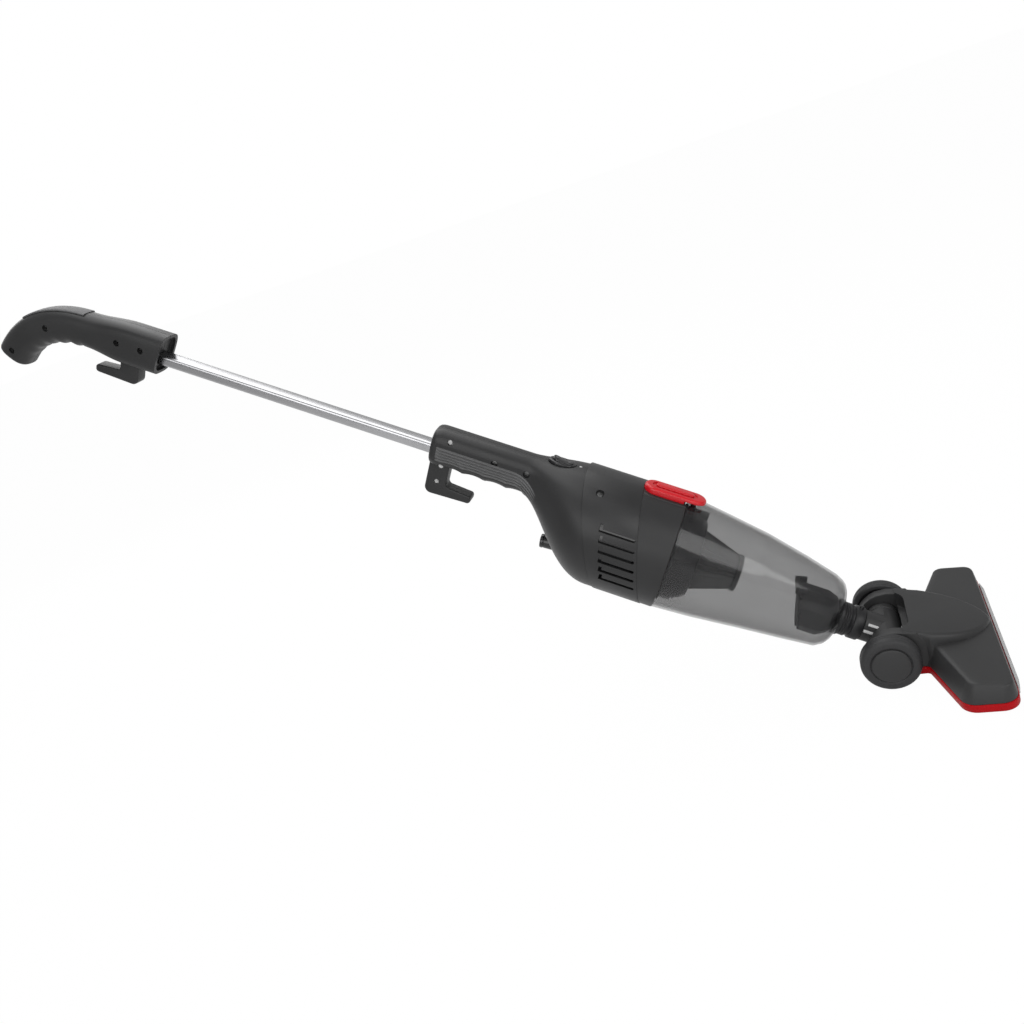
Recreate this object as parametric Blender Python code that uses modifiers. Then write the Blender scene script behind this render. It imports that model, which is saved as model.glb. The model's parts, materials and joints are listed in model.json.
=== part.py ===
"""Corded two-in-one stick vacuum cleaner: hook handle on a pole, hand unit with motor
and clear dust cup, swivel neck, and a floor head on two wheels.

The origin is on the floor, under the front sole strip.  +X points forward over the head,
+Z up, and the machine is symmetric about Y = 0.  The stick lies back at LEAN from the floor.
Two frames carry the pieces.  Both start on the wheel axle: stick_frame has +X along the
stick towards the head, and head_frame is level.
"""
import math

import bmesh
import bpy
from mathutils import Matrix, Vector

MM = 0.001
SEAM_GAP = 0.3 * MM          # clearance between pieces that touch
RUN_GAP = 0.5 * MM           # clearance between pieces that turn or slide

# ---- pose and overall lengths along the stick ----
LEAN = math.radians(33.0)
WHEEL_RADIUS = 26.5 * MM
AXLE_TO_FOOT = 74.0 * MM     # wheel axle to the front sole strip
NECK_REACH = 49.0 * MM       # axle to the front of the dust cup
CUP_LENGTH = 168.0 * MM
CASING_LENGTH = 77.5 * MM
HOUSING_LENGTH = 174.5 * MM
POLE_EXPOSED = 295.0 * MM
HANDLE_BLOCK = 86.0 * MM

CUP_FRONT = -NECK_REACH
CUP_REAR = CUP_FRONT - CUP_LENGTH
CASING_REAR = CUP_REAR - CASING_LENGTH
HOUSING_REAR = CASING_REAR - HOUSING_LENGTH
HANDLE_FRONT = HOUSING_REAR - POLE_EXPOSED
HANDLE_BEND = HANDLE_FRONT - HANDLE_BLOCK

# ---- lines along the stick, as heights above the neck's own line ----
POLE_LINE = 38.5 * MM
GRIP_LINE = 42.4 * MM
MOTOR_LINE = 11.0 * MM
FILTER_LINE = 10.5 * MM

# ---- pole ----
POLE_WIDTH = 16.0 * MM
POLE_HEIGHT = 11.5 * MM
POLE_CORNER = 3.2 * MM
POLE_WALL = 1.2 * MM
POLE_IN_GRIP = 78.0 * MM
POLE_IN_HANDLE = 82.0 * MM

# ---- hook handle ----
HANDLE_HALF_HEIGHT = 17.6 * MM
HANDLE_HALF_WIDTH = 16.0 * MM
BLOCK_HALF_HEIGHT = 21.4 * MM
BLOCK_HALF_WIDTH = 17.0 * MM
HANDLE_DROP = 51.0 * MM      # bend: how far the end drops below the handle's line
HANDLE_OVERHANG = 85.0 * MM  # bend: how far the end lies behind the block
FINGER_PITCH = 17.0 * MM
FINGER_DEPTH = 1.3 * MM
PAD_HALF_WIDTH = 9.5 * MM
PAD_THICKNESS = 3.0 * MM
PAD_PROUD = 0.7 * MM

# ---- cord hooks ----
HOOK_HALF_WIDTH = 7.5 * MM
HOOK_STEM = 21.0 * MM
HOOK_ARM = 10.0 * MM
HOOK_REACH = 28.0 * MM
UPPER_HOOK_DROP = 28.0 * MM
LOWER_HOOK_DROP = 32.0 * MM

# ---- hand unit ----
GRIP_HALF_HEIGHT = 19.7 * MM
GRIP_HALF_WIDTH = 16.6 * MM
GRIP_LENGTH = 0.567 * HOUSING_LENGTH    # straight grip before it swells to the motor casing
DOME_LENGTH = 0.487 * HOUSING_LENGTH
GRIP_WAVE_PITCH = 22.0 * MM
GRIP_WAVE_DEPTH = 1.1 * MM
CASING_RADIUS = 57.0 * MM
CASING_PROUD = 0.7 * MM
SHELL_WALL = 2.8 * MM
SEAM_TILT = math.radians(20.8)
INSERT_LENGTH = 0.527 * HOUSING_LENGTH
SCREW_SHARES = (0.378, 0.567)           # screws along the housing's length
SWITCH_SHARE = 0.7335
GLAND_SHARE = 0.8424
INSERT_HEIGHT = 13.5 * MM
INSERT_DEPTH = 2.4 * MM
INSERT_RIBS = 5
STRAP_HOLE_RADIUS = 2.6 * MM
SCREW_RECESS_RADIUS = 3.4 * MM
SCREW_RECESS_DEPTH = 3.0 * MM

# ---- vents, one bank on each side of the casing ----
VENT_COUNT = 6
VENT_PITCH = 9.7 * MM
VENT_LENGTH = 35.0 * MM
VENT_HEIGHT = 3.4 * MM
VENT_HOOK = 4.2 * MM

# ---- motor and fan ----
MOTOR_RADIUS = 30.0 * MM
MOTOR_LENGTH = 62.0 * MM
MOTOR_WALL = 1.6 * MM
ARMATURE_RADIUS = 18.0 * MM
SHAFT_RADIUS = 2.5 * MM
FAN_RADIUS = 42.0 * MM
FAN_THICKNESS = 9.0 * MM
FAN_BLADES = 7
BULKHEAD_THICKNESS = 4.0 * MM

# ---- switch, button, gland ----
BEZEL_LENGTH = 27.0 * MM
BEZEL_WIDTH = 17.0 * MM
ROCKER_LENGTH = 20.0 * MM
ROCKER_WIDTH = 10.5 * MM
ROCKER_TILT = math.radians(6.0)
ROCKER_PIVOT_LIFT = 1.5 * MM # pivot line above the body's top line
ROCKER_CROWN = 1.1 * MM      # rocker's middle above its pivot line
ROCKER_DISH = 1.5 * MM
BUTTON_LENGTH = 60.0 * MM
BUTTON_WIDTH = 22.0 * MM
BUTTON_PROUD = 4.6 * MM
BUTTON_OVER_CUP = 17.0 * MM
GLAND_RADIUS = 6.2 * MM
GLAND_LENGTH = 15.0 * MM
CORD_BORE_RADIUS = 3.6 * MM

# ---- dust cup ----
CUP_WALL = 2.2 * MM
INLET_RADIUS = 14.8 * MM
DUCT_RADIUS = 23.0 * MM
DUCT_WALL = 2.2 * MM
DUCT_LENGTH = 33.0 * MM
DUCT_SLANT = math.radians(15.0)
FLAP_THICKNESS = 1.6 * MM
FLAP_PIN_RADIUS = 1.2 * MM

# ---- filter ----
FILTER_RING_RADIUS = 46.0 * MM
FILTER_RING_LENGTH = 26.0 * MM
FILTER_CONE_LENGTH = 40.0 * MM
FILTER_BASE_RADIUS = 31.0 * MM
FILTER_TIP_RADIUS = 17.5 * MM
FILTER_PLEATS = 28
PLEAT_DEPTH = 4.0 * MM
PLEAT_WALL = 1.0 * MM
END_CAP_THICKNESS = 5.0 * MM

# ---- neck and knuckle ----
NECK_RADIUS = 15.5 * MM
NECK_BORE = 11.4 * MM
NECK_COLLAR = 17.2 * MM
NECK_SPIGOT = 17.0 * MM
O_RING_RADIUS = 1.1 * MM
BARREL_RADIUS = 15.0 * MM
BARREL_HALF = 30.2 * MM
BARREL_WALL = 2.2 * MM
STUB_LENGTH = 24.0 * MM
AXLE_RADIUS = 3.0 * MM

# ---- wheels ----
WHEEL_INNER = 44.5 * MM      # wheel's inner face from the middle plane
WHEEL_WIDTH = 14.0 * MM
WHEEL_RIM = 4.6 * MM
WHEEL_WEB = 3.0 * MM
HUB_CAP_RADIUS = 17.0 * MM
HUB_CAP_DOME = 3.2 * MM

# ---- floor head ----
HEAD_HALF_WIDTH = 111.0 * MM
HEAD_FRONT = 93.5 * MM       # front edge ahead of the axle
HEAD_REAR = 17.2 * MM
HEAD_WALL = 2.4 * MM
FRONT_SLIP = 0.6             # how far an inset outline also moves forward, per mm of inset
BASE_RIM = 7.5 * MM          # height of the red base plate's rim
BASE_THICKNESS = 3.0 * MM
BASE_CLEARANCE = 3.0 * MM    # base plate above the floor
WING_REAR_TOP = 9.6 * MM     # wing's top relative to the axle, at the rear
WING_FRONT_TOP = -3.0 * MM
DOME_REAR_TOP = 22.8 * MM
DOME_FRONT_TOP = -0.6 * MM
DOME_HALF_WIDTH = 45.5 * MM
DOME_NECK = 42.0 * MM        # dome's half width between the wheels
DRUM_ROOM_FRONT = 22.0 * MM  # open space between the knuckle's drum and the dome
DRUM_ROOM_LOW = 8.0 * MM
YOKE_INNER = 31.2 * MM
YOKE_OUTER = 42.0 * MM
YOKE_OUTLINE = (             # side view of a yoke arm, in front of and above the axle
    (26.0, 20.2), (7.5, 23.4), (-2.6, 22.3), (-8.6, 19.7), (-13.4, 16.2), (-18.0, 11.7), (-21.0, 4.5),
    (-21.5, -3.0), (-18.5, -10.5), (-12.0, -15.0))
SLOT_LENGTH = 184.0 * MM
SLOT_WIDTH = 11.0 * MM
STRIP_THICKNESS = 3.0 * MM
STRIP_SPACING = 17.0 * MM
STRIP_HALF = 103.0 * MM
STRIP_TEETH = 13
STRIP_GROOVE = 1.4 * MM
BUMPER_THICKNESS = 2.6 * MM
BUMPER_HEIGHT = 7.5 * MM
EDGE_PROUD = 0.8 * MM        # red edge beyond the dark shell

CUTTER_MARGIN = 1.0 * MM     # how far a cutter runs past the face that it opens
FULL_TURN = 2.0 * math.pi
BIG_ROUND = 30               # sides of the large round pieces
ROUND = 20
SMALL_ROUND = 10

for old in list(bpy.data.objects):
    bpy.data.objects.remove(old)

PARTS = bpy.data.collections.new("stick_vacuum")
CUTTERS = bpy.data.collections.new("cutters")
bpy.context.scene.collection.children.link(PARTS)
bpy.context.scene.collection.children.link(CUTTERS)


# ------------------------------------------------------------------ helpers
def material(name, colour, roughness, metallic=0.0, alpha=1.0):
    mat = bpy.data.materials.new(name)
    mat.use_nodes = True
    shader = mat.node_tree.nodes["Principled BSDF"]
    shader.inputs["Base Color"].default_value = (*colour, 1.0)
    shader.inputs["Roughness"].default_value = roughness
    shader.inputs["Metallic"].default_value = metallic
    shader.inputs["Alpha"].default_value = alpha
    return mat


CHARCOAL = material("charcoal_plastic", (0.032, 0.032, 0.033), 0.45)
BLACK = material("black_plastic", (0.014, 0.014, 0.015), 0.4)
SOFT_GREY = material("soft_grey_rubber", (0.07, 0.07, 0.07), 0.7)
CHROME = material("bright_steel", (0.6, 0.6, 0.61), 0.15, 1.0)
STEEL = material("plain_steel", (0.4, 0.4, 0.4), 0.35, 1.0)
COPPER = material("copper_winding", (0.5, 0.2, 0.08), 0.4, 1.0)
RED = material("red_plastic", (0.65, 0.008, 0.025), 0.35)
SMOKE = material("smoked_clear_plastic", (0.16, 0.16, 0.16), 0.1, 0.0, 0.45)
FILTER_CLOTH = material("filter_cloth", (0.12, 0.12, 0.12), 0.9)
RUBBER = material("rubber", (0.02, 0.02, 0.02), 0.8)
PALE = material("pale_grey_plastic", (0.45, 0.45, 0.45), 0.5)


def frame(name, location, lean=0.0, parent=None):
    empty = bpy.data.objects.new(name, None)
    empty.location = location
    empty.rotation_euler = (0.0, lean, 0.0)
    empty.parent = parent
    PARTS.objects.link(empty)
    return empty


AXLE_POINT = (-AXLE_TO_FOOT, 0.0, WHEEL_RADIUS)
STICK = frame("stick_frame", AXLE_POINT, LEAN)
LEVEL = frame("head_frame", AXLE_POINT)


def finish(obj, mat, parent):
    """Put a finished object in the parts collection, or with the cutters if mat is None."""
    obj.parent = parent
    if mat is None:
        CUTTERS.objects.link(obj)
        obj.hide_render = True
        obj.display_type = "WIRE"
    else:
        PARTS.objects.link(obj)
        obj.data.materials.append(mat)
    return obj


def from_bmesh(name, bm, mat, parent):
    bmesh.ops.recalc_face_normals(bm, faces=bm.faces)
    mesh = bpy.data.meshes.new(name)
    bm.to_mesh(mesh)
    bm.free()
    mesh.shade_smooth()
    mesh.set_sharp_from_angle(angle=math.radians(35.0))
    return finish(bpy.data.objects.new(name, mesh), mat, parent)


def section(x, y, z, half_width, half_height, power=2.0, sides=BIG_ROUND, lean=0.0):
    """A superellipse across the stick at x; lean shifts its top forward."""
    points = []
    for i in range(sides):
        angle = FULL_TURN * (i + 0.5) / sides
        c, s = math.cos(angle), math.sin(angle)
        dy = half_width * math.copysign(abs(c) ** (2.0 / power), c)
        dz = half_height * math.copysign(abs(s) ** (2.0 / power), s)
        points.append(Vector((x + lean * dz, y + dy, z + dz)))
    return points


def loft(name, rings, mat, parent):
    """Skin a row of rings that have the same number of points, and cap both ends."""
    bm = bmesh.new()
    rows = [[bm.verts.new(point) for point in ring] for ring in rings]
    count = len(rows[0])
    for near, far in zip(rows, rows[1:]):
        for i in range(count):
            j = (i + 1) % count
            bm.faces.new((near[i], near[j], far[j], far[i]))
    bm.faces.new(rows[0])
    bm.faces.new(rows[-1])
    return from_bmesh(name, bm, mat, parent)


def rounded(corners, radius, steps=4):
    """Points of a polygon whose corners are arcs; a corner may carry its own radius."""
    points = []
    count = len(corners)
    for i in range(count):
        here = Vector(corners[i][:2])
        turn = corners[i][2] if len(corners[i]) > 2 else radius
        before = (Vector(corners[i - 1][:2]) - here).normalized()
        after = (Vector(corners[(i + 1) % count][:2]) - here).normalized()
        if turn <= 0.0:
            points.append(here)
            continue
        half = before.angle(after) / 2.0
        start = here + before * (turn / math.tan(half))
        middle = here + (before + after).normalized() * (turn / math.sin(half))
        sweep = (start - middle).angle_signed(here + after * (turn / math.tan(half)) - middle)
        for k in range(steps + 1):
            arm = (start - middle).copy()
            arm.rotate(Matrix.Rotation(-sweep * k / steps, 2))
            points.append(middle + arm)
    return points


def circle(cx, cy, radius, sides=ROUND):
    return [Vector((cx + radius * math.cos(FULL_TURN * i / sides),
                    cy + radius * math.sin(FULL_TURN * i / sides))) for i in range(sides)]


def plate(name, loops, low, high, mat, parent, axis="Z", bevel=0.0):
    """A flat outline with its holes, made from low to high along an axis of the frame."""
    curve = bpy.data.curves.new(name, "CURVE")
    curve.dimensions = "2D"
    curve.fill_mode = "BOTH"
    curve.extrude = (high - low) / 2.0
    for points in loops:
        spline = curve.splines.new("POLY")
        spline.points.add(len(points) - 1)
        for target, point in zip(spline.points, points):
            target.co = (point[0], point[1], 0.0, 1.0)
        spline.use_cyclic_u = True
    source = bpy.data.objects.new(name + "_outline", curve)
    bpy.context.scene.collection.objects.link(source)
    depsgraph = bpy.context.evaluated_depsgraph_get()
    mesh = bpy.data.meshes.new_from_object(source.evaluated_get(depsgraph))
    bpy.data.objects.remove(source)
    mesh.name = name
    bm = bmesh.new()
    bm.from_mesh(mesh)
    bpy.data.meshes.remove(mesh)
    bmesh.ops.remove_doubles(bm, verts=bm.verts, dist=0.00001)
    middle = (low + high) / 2.0
    turns = {
        "Z": Matrix.Translation((0.0, 0.0, middle)),
        "Y": Matrix.Translation((0.0, middle, 0.0)) @ Matrix.Rotation(math.pi / 2, 4, "X"),
        "X": Matrix.Translation((middle, 0.0, 0.0)) @ Matrix(
            ((0, 0, 1, 0), (1, 0, 0, 0), (0, 1, 0, 0), (0, 0, 0, 1))),
    }
    bmesh.ops.transform(bm, matrix=turns[axis], verts=bm.verts)
    bmesh.ops.dissolve_limit(bm, angle_limit=0.001, verts=bm.verts, edges=bm.edges)
    obj = from_bmesh(name, bm, mat, parent)
    if bevel > 0.0:
        soften(obj, bevel)
    return obj


def soften(obj, width, segments=1):
    bevel = obj.modifiers.new("rounded_edges", "BEVEL")
    bevel.width = width
    bevel.segments = segments
    bevel.limit_method = "ANGLE"
    bevel.angle_limit = math.radians(50.0)


def turned(name, profile, mat, parent, axis, centre=(0.0, 0.0, 0.0), sides=ROUND, closed=False):
    """Turn a profile of (radius, height) pairs about an axis of the frame."""
    profile = list(profile)
    area = sum(profile[i - 1][0] * r1[1] - r1[0] * profile[i - 1][1] for i, r1 in enumerate(profile))
    if area > 0.0:
        profile.reverse()
    bm = bmesh.new()
    verts = [bm.verts.new((radius, 0.0, height)) for radius, height in profile]
    pairs = list(zip(verts, verts[1:]))
    if closed:
        pairs.append((verts[-1], verts[0]))
    for first, second in pairs:
        bm.edges.new((first, second))
    mesh = bpy.data.meshes.new(name)
    bm.to_mesh(mesh)
    bm.free()
    obj = bpy.data.objects.new(name, mesh)
    screw = obj.modifiers.new("turn", "SCREW")
    screw.steps = sides
    screw.render_steps = sides
    screw.use_merge_vertices = True
    screw.merge_threshold = 0.00001
    obj.rotation_euler = {"X": (0.0, math.pi / 2, 0.0), "Y": (-math.pi / 2, 0.0, 0.0),
                          "-Y": (math.pi / 2, 0.0, 0.0), "Z": (0.0, 0.0, 0.0)}[axis]
    obj.location = centre
    return finish(obj, mat, parent)


def cylinder(name, radius, start, end, mat, parent, sides=ROUND, taper=None):
    """A cylinder, or a cone, between two points of the frame."""
    start, end = Vector(start), Vector(end)
    bm = bmesh.new()
    length = (end - start).length
    bmesh.ops.create_cone(bm, cap_ends=True, segments=sides, radius1=radius,
                          radius2=radius if taper is None else taper, depth=length)
    spin = Vector((0, 0, 1)).rotation_difference(end - start).to_matrix().to_4x4()
    place = Matrix.Translation((start + end) / 2.0) @ spin
    bmesh.ops.transform(bm, matrix=place, verts=bm.verts)
    return from_bmesh(name, bm, mat, parent)


def box(name, low, high, mat, parent, turn=None):
    """A box between two corners; turn is a matrix applied afterwards."""
    low, high = Vector(low), Vector(high)
    bm = bmesh.new()
    bmesh.ops.create_cube(bm, size=1.0)
    size = high - low
    place = Matrix.Translation((low + high) / 2.0) @ Matrix.Diagonal((*size, 1.0))
    if turn is not None:
        place = turn @ place
    bmesh.ops.transform(bm, matrix=place, verts=bm.verts)
    return from_bmesh(name, bm, mat, parent)


def boolean(target, tool, operation):
    mod = target.modifiers.new(tool.name, "BOOLEAN")
    mod.operation = operation
    mod.solver = "EXACT"
    mod.object = tool


def cut(target, *tools):
    for tool in tools:
        boolean(target, tool, "DIFFERENCE")


def join(target, *tools):
    for tool in tools:
        boolean(target, tool, "UNION")


SIDES = (("left", 1.0), ("right", -1.0))


def half_space(name, side):
    """A block that fills one side of the middle plane, clear of it by half a seam."""
    reach = 1.2
    edge = SEAM_GAP / 2.0
    low, high = sorted((side * edge, side * 0.2))
    return box(name, (-reach, low, -0.2), (0.2, high, 0.2), None, STICK)


def ease(t):
    return t * t * (3.0 - 2.0 * t)


# ------------------------------------------------------------------ pole and handle
def pole_outline(grow):
    half_w = POLE_WIDTH / 2.0 + grow
    half_h = POLE_HEIGHT / 2.0 + grow
    corners = [(-half_w, POLE_LINE - half_h), (half_w, POLE_LINE - half_h),
               (half_w, POLE_LINE + half_h), (-half_w, POLE_LINE + half_h)]
    return rounded(corners, POLE_CORNER + grow, 3)


def handle_spine(t):
    """Point and direction of the bent grip's middle line, from the block to the end."""
    start = Vector((HANDLE_BEND, 0.0, GRIP_LINE + 1.0 * MM))
    end = start + Vector((-HANDLE_OVERHANG, 0.0, -HANDLE_DROP))
    first = start - Vector((HANDLE_OVERHANG * 0.5, 0.0, 0.0))
    second = end + Vector((HANDLE_OVERHANG * 0.17, 0.0, HANDLE_DROP * 0.64))
    u = 1.0 - t
    point = u**3 * start + 3 * u * u * t * first + 3 * u * t * t * second + t**3 * end
    slope = 3 * u * u * (first - start) + 6 * u * t * (second - first) + 3 * t * t * (end - second)
    return point, slope.normalized()


def handle_ring(t, half_width, half_height, power, sides, shift=0.0):
    """A section across the bent grip; shift moves it out along the top side."""
    point, slope = handle_spine(t)
    outward = Vector((slope.z, 0.0, -slope.x))
    flat = section(0.0, 0.0, 0.0, half_width, half_height, power, sides)
    return [point + Vector((0.0, p.y, 0.0)) + outward * (p.z + shift) for p in flat]


def handle_body(name, mat):
    sides = 18
    line = GRIP_LINE + 1.0 * MM
    rings = [section(HANDLE_FRONT, 0.0, line, BLOCK_HALF_WIDTH, BLOCK_HALF_HEIGHT, 3.6, sides, 0.2)]
    for share in (0.12, 0.45, 0.62, 0.8, 1.0):
        x = HANDLE_FRONT - share * HANDLE_BLOCK
        mix = ease(max(0.0, (share - 0.45) / 0.55))
        rings.append(section(x, 0.0, line,
                             BLOCK_HALF_WIDTH + mix * (HANDLE_HALF_WIDTH - BLOCK_HALF_WIDTH),
                             BLOCK_HALF_HEIGHT + mix * (HANDLE_HALF_HEIGHT - BLOCK_HALF_HEIGHT),
                             3.6 - 0.9 * mix, sides, 0.2 * (1.0 - share)))
    bend_rings = 14
    bend_length = math.hypot(HANDLE_DROP, HANDLE_OVERHANG)
    for i in range(1, bend_rings + 1):
        t = i / bend_rings
        ring = handle_ring(t, HANDLE_HALF_WIDTH, HANDLE_HALF_HEIGHT, 2.7, sides)
        wave = FINGER_DEPTH * math.cos(FULL_TURN * t * bend_length / FINGER_PITCH) * (1.0 - t)
        point, slope = handle_spine(t)
        outward = Vector((slope.z, 0.0, -slope.x))
        for p in ring:
            under = -(p - point).dot(outward) / HANDLE_HALF_HEIGHT
            if under > 0.0:
                p += outward * wave * under
        rings.append(ring)
    point, slope = handle_spine(1.0)
    for push, shrink in ((3.0 * MM, 0.9), (5.0 * MM, 0.72)):
        rings.append([point + (p - point) * shrink + slope * push for p in rings[-1 - (shrink < 0.8)]])
    return loft(name, rings, mat, STICK)


def handle_pad(name, grow, mat):
    """The soft strip let into the top of the bend."""
    rings = []
    steps = 8
    for i in range(steps + 1):
        t = 0.02 + 0.6 * i / steps
        rings.append(handle_ring(t, PAD_HALF_WIDTH + grow, PAD_THICKNESS / 2.0 + grow, 3.0, 10,
                                 HANDLE_HALF_HEIGHT + PAD_PROUD - PAD_THICKNESS / 2.0))
    if grow > 0.0:
        for ring, sign in ((rings[0], 1.0), (rings[-1], -1.0)):
            slope = handle_spine(0.02 if sign > 0 else 0.62)[1]
            for p in ring:
                p -= slope * sign * grow
    return loft(name, rings, mat, STICK)


def make_pole():
    rear = HANDLE_FRONT - POLE_IN_HANDLE
    front = HOUSING_REAR + POLE_IN_GRIP
    loops = [pole_outline(0.0), pole_outline(-POLE_WALL)]
    plate("pole", loops, rear, front, CHROME, STICK, "X")


def pole_socket(name, rear, front):
    return plate(name, [pole_outline(SEAM_GAP)], rear, front, None, STICK, "X")


def hook_outline(anchor, root, drop, way):
    """Side view of a cord hook: a stem down from root and an arm that points along way."""
    foot = root - drop
    corners = [(anchor, root, 0.0), (anchor, foot, 7.0 * MM),
               (anchor + way * (HOOK_STEM + HOOK_REACH), foot + 2.0 * MM, 3.0 * MM),
               (anchor + way * (HOOK_STEM + HOOK_REACH), foot + HOOK_ARM, 2.6 * MM),
               (anchor + way * HOOK_STEM, foot + HOOK_ARM + 2.0 * MM, 4.0 * MM),
               (anchor + way * HOOK_STEM, root, 0.0)]
    return rounded(corners, 2.0 * MM, 3)


def make_handle():
    socket = pole_socket("handle_socket", HANDLE_FRONT - POLE_IN_HANDLE - SEAM_GAP,
                         HANDLE_FRONT + 20.0 * MM)
    mouth = 3.6 * MM
    line = GRIP_LINE + 1.0 * MM
    recess = loft("handle_mouth_recess", [
        section(HANDLE_FRONT - 4.0 * MM, 0.0, line, BLOCK_HALF_WIDTH - mouth,
                BLOCK_HALF_HEIGHT - mouth, 3.6, 24, 0.2),
        section(HANDLE_FRONT + 8.0 * MM, 0.0, line, BLOCK_HALF_WIDTH - mouth,
                BLOCK_HALF_HEIGHT - mouth, 3.6, 24, 0.2)], None, STICK)
    groove = handle_pad("handle_pad_groove", SEAM_GAP, None)
    anchor = HANDLE_FRONT - 26.0 * MM
    root = GRIP_LINE + 1.0 * MM - BLOCK_HALF_HEIGHT + 7.0 * MM
    hook_seat = plate("upper_hook_seat", [[(anchor - HOOK_STEM - SEAM_GAP, root + SEAM_GAP),
                                           (anchor + SEAM_GAP, root + SEAM_GAP),
                                           (anchor + SEAM_GAP, root - 20.0 * MM),
                                           (anchor - HOOK_STEM - SEAM_GAP, root - 20.0 * MM)]],
                      -HOOK_HALF_WIDTH - SEAM_GAP, HOOK_HALF_WIDTH + SEAM_GAP, None, STICK, "Y")
    for side_name, side in SIDES:
        shell = handle_body("handle_shell_" + side_name, CHARCOAL)
        cut(shell, socket, recess, groove, hook_seat)
        boolean(shell, half_space("handle_half_" + side_name, side), "INTERSECT")
    right = bpy.data.objects["handle_shell_right"]
    screw_places = [(HANDLE_FRONT - 19.0 * MM, GRIP_LINE + 3.0 * MM),
                    (HANDLE_FRONT - 46.0 * MM, GRIP_LINE + 3.0 * MM)]
    for t in (0.38, 0.93):
        point = handle_spine(t)[0]
        screw_places.append((point.x, point.z))
    for number, (x, z) in enumerate(screw_places):
        well = cylinder("handle_screw_well_%d" % number, SCREW_RECESS_RADIUS,
                        (x, -HANDLE_HALF_WIDTH + SCREW_RECESS_DEPTH, z), (x, -0.03, z), None, STICK, SMALL_ROUND)
        cut(right, well)
    handle_pad("handle_top_pad", 0.0, SOFT_GREY)
    plate("upper_cord_hook", [hook_outline(anchor, root, UPPER_HOOK_DROP, -1.0)],
          -HOOK_HALF_WIDTH, HOOK_HALF_WIDTH, CHARCOAL, STICK, "Y", 1.6 * MM)


# ------------------------------------------------------------------ stations inside the casing
BULKHEAD_FRONT = CUP_REAR - SEAM_GAP
BULKHEAD_REAR = BULKHEAD_FRONT - BULKHEAD_THICKNESS
FAN_FRONT = BULKHEAD_REAR - 5.0 * MM
FAN_REAR = FAN_FRONT - FAN_THICKNESS
SHROUD_WALL = 1.8 * MM
MOTOR_FRONT = FAN_REAR - 6.0 * MM
MOTOR_REAR = MOTOR_FRONT - MOTOR_LENGTH
BOSS_RADIUS = 9.0 * MM       # rear bearing boss of the motor
BOSS_LENGTH = 9.0 * MM
REAR_MOUNT_RADIUS = 14.0 * MM
RIB_FRONT = MOTOR_REAR - 4.8 * MM
RIB_THICKNESS = 3.0 * MM


# ------------------------------------------------------------------ hand unit shells
def swell(x):
    """How far the body has swollen from the grip (0) to the motor casing (1)."""
    t = (x - HOUSING_REAR - GRIP_LENGTH) / DOME_LENGTH
    t = min(1.0, max(0.0, t))
    return math.sin(math.pi / 2.0 * t**0.8) ** 2


def body_ring(x, inset=0.0, scale=1.0, sides=22, wave=True):
    """A section of the hand unit's body at x, inset from its outside."""
    mix = swell(x)
    line = GRIP_LINE + mix * (MOTOR_LINE - GRIP_LINE)
    half_width = GRIP_HALF_WIDTH + mix * (CASING_RADIUS - GRIP_HALF_WIDTH)
    half_height = GRIP_HALF_HEIGHT + mix * (CASING_RADIUS - GRIP_HALF_HEIGHT)
    power = 3.0 - 0.9 * mix
    ring = section(x, 0.0, line, (half_width - inset) * scale, (half_height - inset) * scale,
                   power, sides)
    start = HOUSING_REAR + 14.0 * MM
    stop = HOUSING_REAR + GRIP_LENGTH
    if wave and start < x < stop:
        push = GRIP_WAVE_DEPTH * (1.0 - math.cos(FULL_TURN * (x - start) / GRIP_WAVE_PITCH)) / 2.0
        for p in ring:
            under = (line - p.z) / half_height
            if under > 0.0:
                p.z += push * under
    return ring


def seam_block(name, gap, front):
    """A block on one side of the slanted seam; front picks the side towards the cup."""
    reach = 0.4
    low = gap if front else -reach
    high = reach if front else -gap
    tilt = Matrix.Translation((CASING_REAR, 0.0, MOTOR_LINE)) @ Matrix.Rotation(-SEAM_TILT, 4, "Y")
    return box(name, (low, -0.1, -0.16), (high, 0.1, 0.16), None, STICK, tilt)


def housing_rings(inset, start):
    rings = []
    grip_steps = 11
    if inset == 0.0:
        rings.append(body_ring(HOUSING_REAR, scale=0.82))
        rings.append(body_ring(HOUSING_REAR + 3.0 * MM, scale=0.94))
        for i in range(grip_steps):
            x = HOUSING_REAR + 9.0 * MM + (GRIP_LENGTH - 9.0 * MM) * i / (grip_steps - 1)
            rings.append(body_ring(x))
    dome_steps = 7
    rear = HOUSING_REAR + GRIP_LENGTH if inset == 0.0 else start
    front = CASING_REAR + 50.0 * MM
    for i in range(1 if inset == 0.0 else 0, dome_steps + 1):
        rings.append(body_ring(rear + (front - rear) * i / dome_steps, inset, wave=False))
    return rings


def lower_hook_outline():
    root = GRIP_LINE - GRIP_HALF_HEIGHT + 8.0 * MM
    return hook_outline(HOUSING_REAR + 1.0 * MM, root, LOWER_HOOK_DROP + 8.0 * MM, 1.0)


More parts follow.
